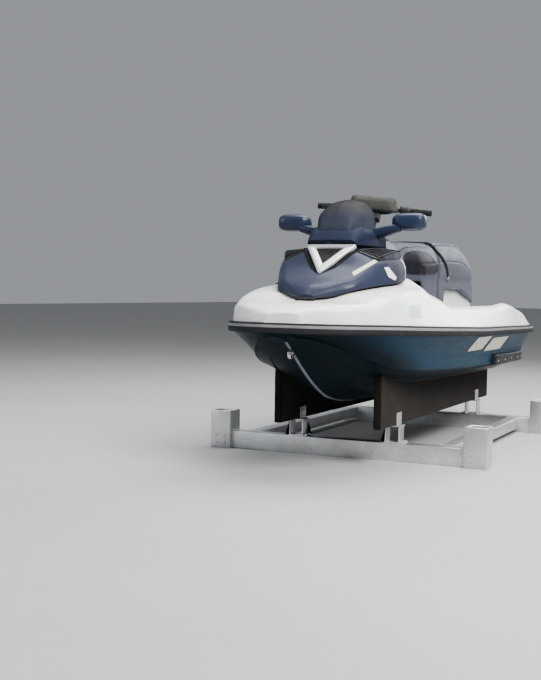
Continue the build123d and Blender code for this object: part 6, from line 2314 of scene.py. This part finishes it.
PALE = gelcoat("pale_green_tape", (0.50, 0.68, 0.56), rough=0.4, grime=0.1, coat=0.1)
give(patch("plain_square", deck_tree, [(409, 305.5), (421, 305), (421.5, 318), (409.5, 318.5)], 3), PALE, "root", "silver_trim")

# painted highlight: a pale rubber strip along the keel under the bow stands for the light caught by the keel edge
keel_highlight_pts = []
for s in steps(70, (420, 14), (1000, 26)):
    loc, nor, _, _ = hull_tree.ray_cast(Vector(P(0.2, s, hull_at(s)[2] - 80)), Vector((0, -0.25 if s < 420 else 0, 1)).normalized())
    if loc is not None:
        keel_highlight_pts.append(loc)
KEEL_HIGHLIGHT = rubber("keel_highlight_strip", (0.16, 0.19, 0.22), rough=0.5)
kg = ridge("keel_highlight_strip", hull_tree, keel_highlight_pts, 0.016, 0.0026, sides=9)
give(kg, KEEL_HIGHLIGHT, "root", "bumper_rubber")

# painted highlight: a raised silver strip along each side of the console stands for the highlight on the console's edge
edge_highlight_pts = []
for px, py in ((399.5, 241), (404, 245), (408, 250), (411, 256), (413, 263), (413, 270), (411, 276)):
    loc, nor, _, _ = console_tree.ray_cast(CAM_POS, sight(px, py))
    if loc is not None:
        edge_highlight_pts.append(tuple(loc))
if len(edge_highlight_pts) > 3:
    line = [Vector(p) for p in curve_points(edge_highlight_pts, 6)]
    t1 = ridge("t", console_tree, line, 0.012, 0.0032, sides=7)
    t2 = ridge("t", console_tree, [Vector((-p.x, p.y, p.z)) for p in line], 0.012, 0.0032, sides=7)
    give(join("console_edge_highlight_strips", [t1, t2]), SILVER, "root", "silver_trim")

# ignition post and start switch on the console, by the bars
cons = []
for x, s, r in ((112, 1225, 15), (-112, 1225, 11)):
    loc, nor = on_surface(console_tree, P(x, s, 1100), (0, 0, -1))
    if loc is not None:
        cons.append(lathe("post", loc - nor * 0.002, loc + nor, [(0, r), (6, r), (8, r - 2), (8.2, r - 5), (16, r - 6), (18, r - 8)], 28, 35))
give(join("console_switches", cons), BLACK, "root", "black_plastic")

# drains in the footwells
ex = []
for sgn in (1, -1):
    for s in (2775,):
        loc, nor = on_surface(deck_tree, P(sgn * 326, s, 700), (0, 0, -1))
        if loc is not None:
            rings = []
            a = nor.orthogonal().normalized()
            b = nor.cross(a)
            for r, h in ((19, -1), (19, 1.6), (17, 2.4), (11, 2.4), (10, 0.6), (10, -1)):
                rings.append([tuple(loc + (a * math.cos(2 * math.pi * k / 32) + b * math.sin(2 * math.pi * k / 32)) * (r / 1000) + nor * (h / 1000)) for k in range(32)])
            ex.append(loft("scupper", rings + [rings[0]], True, False, 35))
give(join("footwell_drains", ex), STEEL, "root", "stainless")

# ------------------------------------------------------------------ floor, light, camera
def area(name, loc, target, size, energy, color=(1, 1, 1)):
    ld = bpy.data.lights.new(name, "AREA")
    ld.shape = "RECTANGLE"
    ld.size, ld.size_y = size
    ld.energy = energy
    ld.color = color
    o = bpy.data.objects.new(name, ld)
    bpy.context.scene.collection.objects.link(o)
    o.location = loc
    o.rotation_mode = "QUATERNION"
    o.rotation_quaternion = (Vector(target) - Vector(loc)).to_track_quat("-Z", "Y")
    return o


floor_mesh = bpy.data.meshes.new("studio_floor")
floor_mesh.from_pydata([(-30, -30, 0), (30, -30, 0), (30, 60, 0), (-30, 60, 0)], [], [(0, 1, 2, 3)])
floor = new_object("studio_floor", floor_mesh)
fm = Mat("floor_pale", (0.44, 0.44, 0.435), 0.8)
fm.use_color(fm.ramp(fm.noise(0.8, 4, 0.5), (0.3, (0.43, 0.43, 0.425)), (0.7, (0.46, 0.46, 0.455))))
floor.data.materials.append(fm.m)

world = bpy.data.worlds.new("studio")
bpy.context.scene.world = world
world.use_nodes = True
bg = world.node_tree.nodes["Background"]
bg.inputs["Color"].default_value = (0.80, 0.83, 0.87, 1)
bg.inputs["Strength"].default_value = 0.36

area("key", (4.6, -3.6, 5.2), (0, 0, 0.7), (3.6, 3.6), 700, (1.0, 0.98, 0.95))
area("fill", (-5.5, -4.5, 3.4), (0, 0, 0.8), (4.0, 3.0), 120, (0.93, 0.96, 1.0))
area("top", (0.5, 1.0, 6.0), (0, 0, 0.5), (5.0, 5.0), 440)
area("back", (2.5, 6.5, 3.5), (0, 0, 0.7), (4.0, 3.0), 150)

bpy.context.scene.view_settings.look = "AgX - Medium High Contrast"
cam_data = bpy.data.cameras.new("photo_camera")
cam = bpy.data.objects.new("photo_camera", cam_data)
bpy.context.scene.collection.objects.link(cam)
yaw, pitch, roll = 0.43213, 0.04656, 0.01788
d = Vector((-math.sin(yaw) * math.cos(pitch), math.cos(yaw) * math.cos(pitch), -math.sin(pitch)))
r = d.cross(Vector((0, 0, 1))).normalized()
u = r.cross(d)
r2 = math.cos(roll) * r + math.sin(roll) * u
u2 = -math.sin(roll) * r + math.cos(roll) * u
cam.matrix_world = Matrix(((r2.x, u2.x, -d.x, 2.26299), (r2.y, u2.y, -d.y, -6.69532), (r2.z, u2.z, -d.z, 0.94847), (0, 0, 0, 1)))
cam_data.sensor_width = 36.0
cam_data.lens = 1123.06 * 36.0 / 680.0
cam_data.clip_end = 200
bpy.context.scene.camera = cam
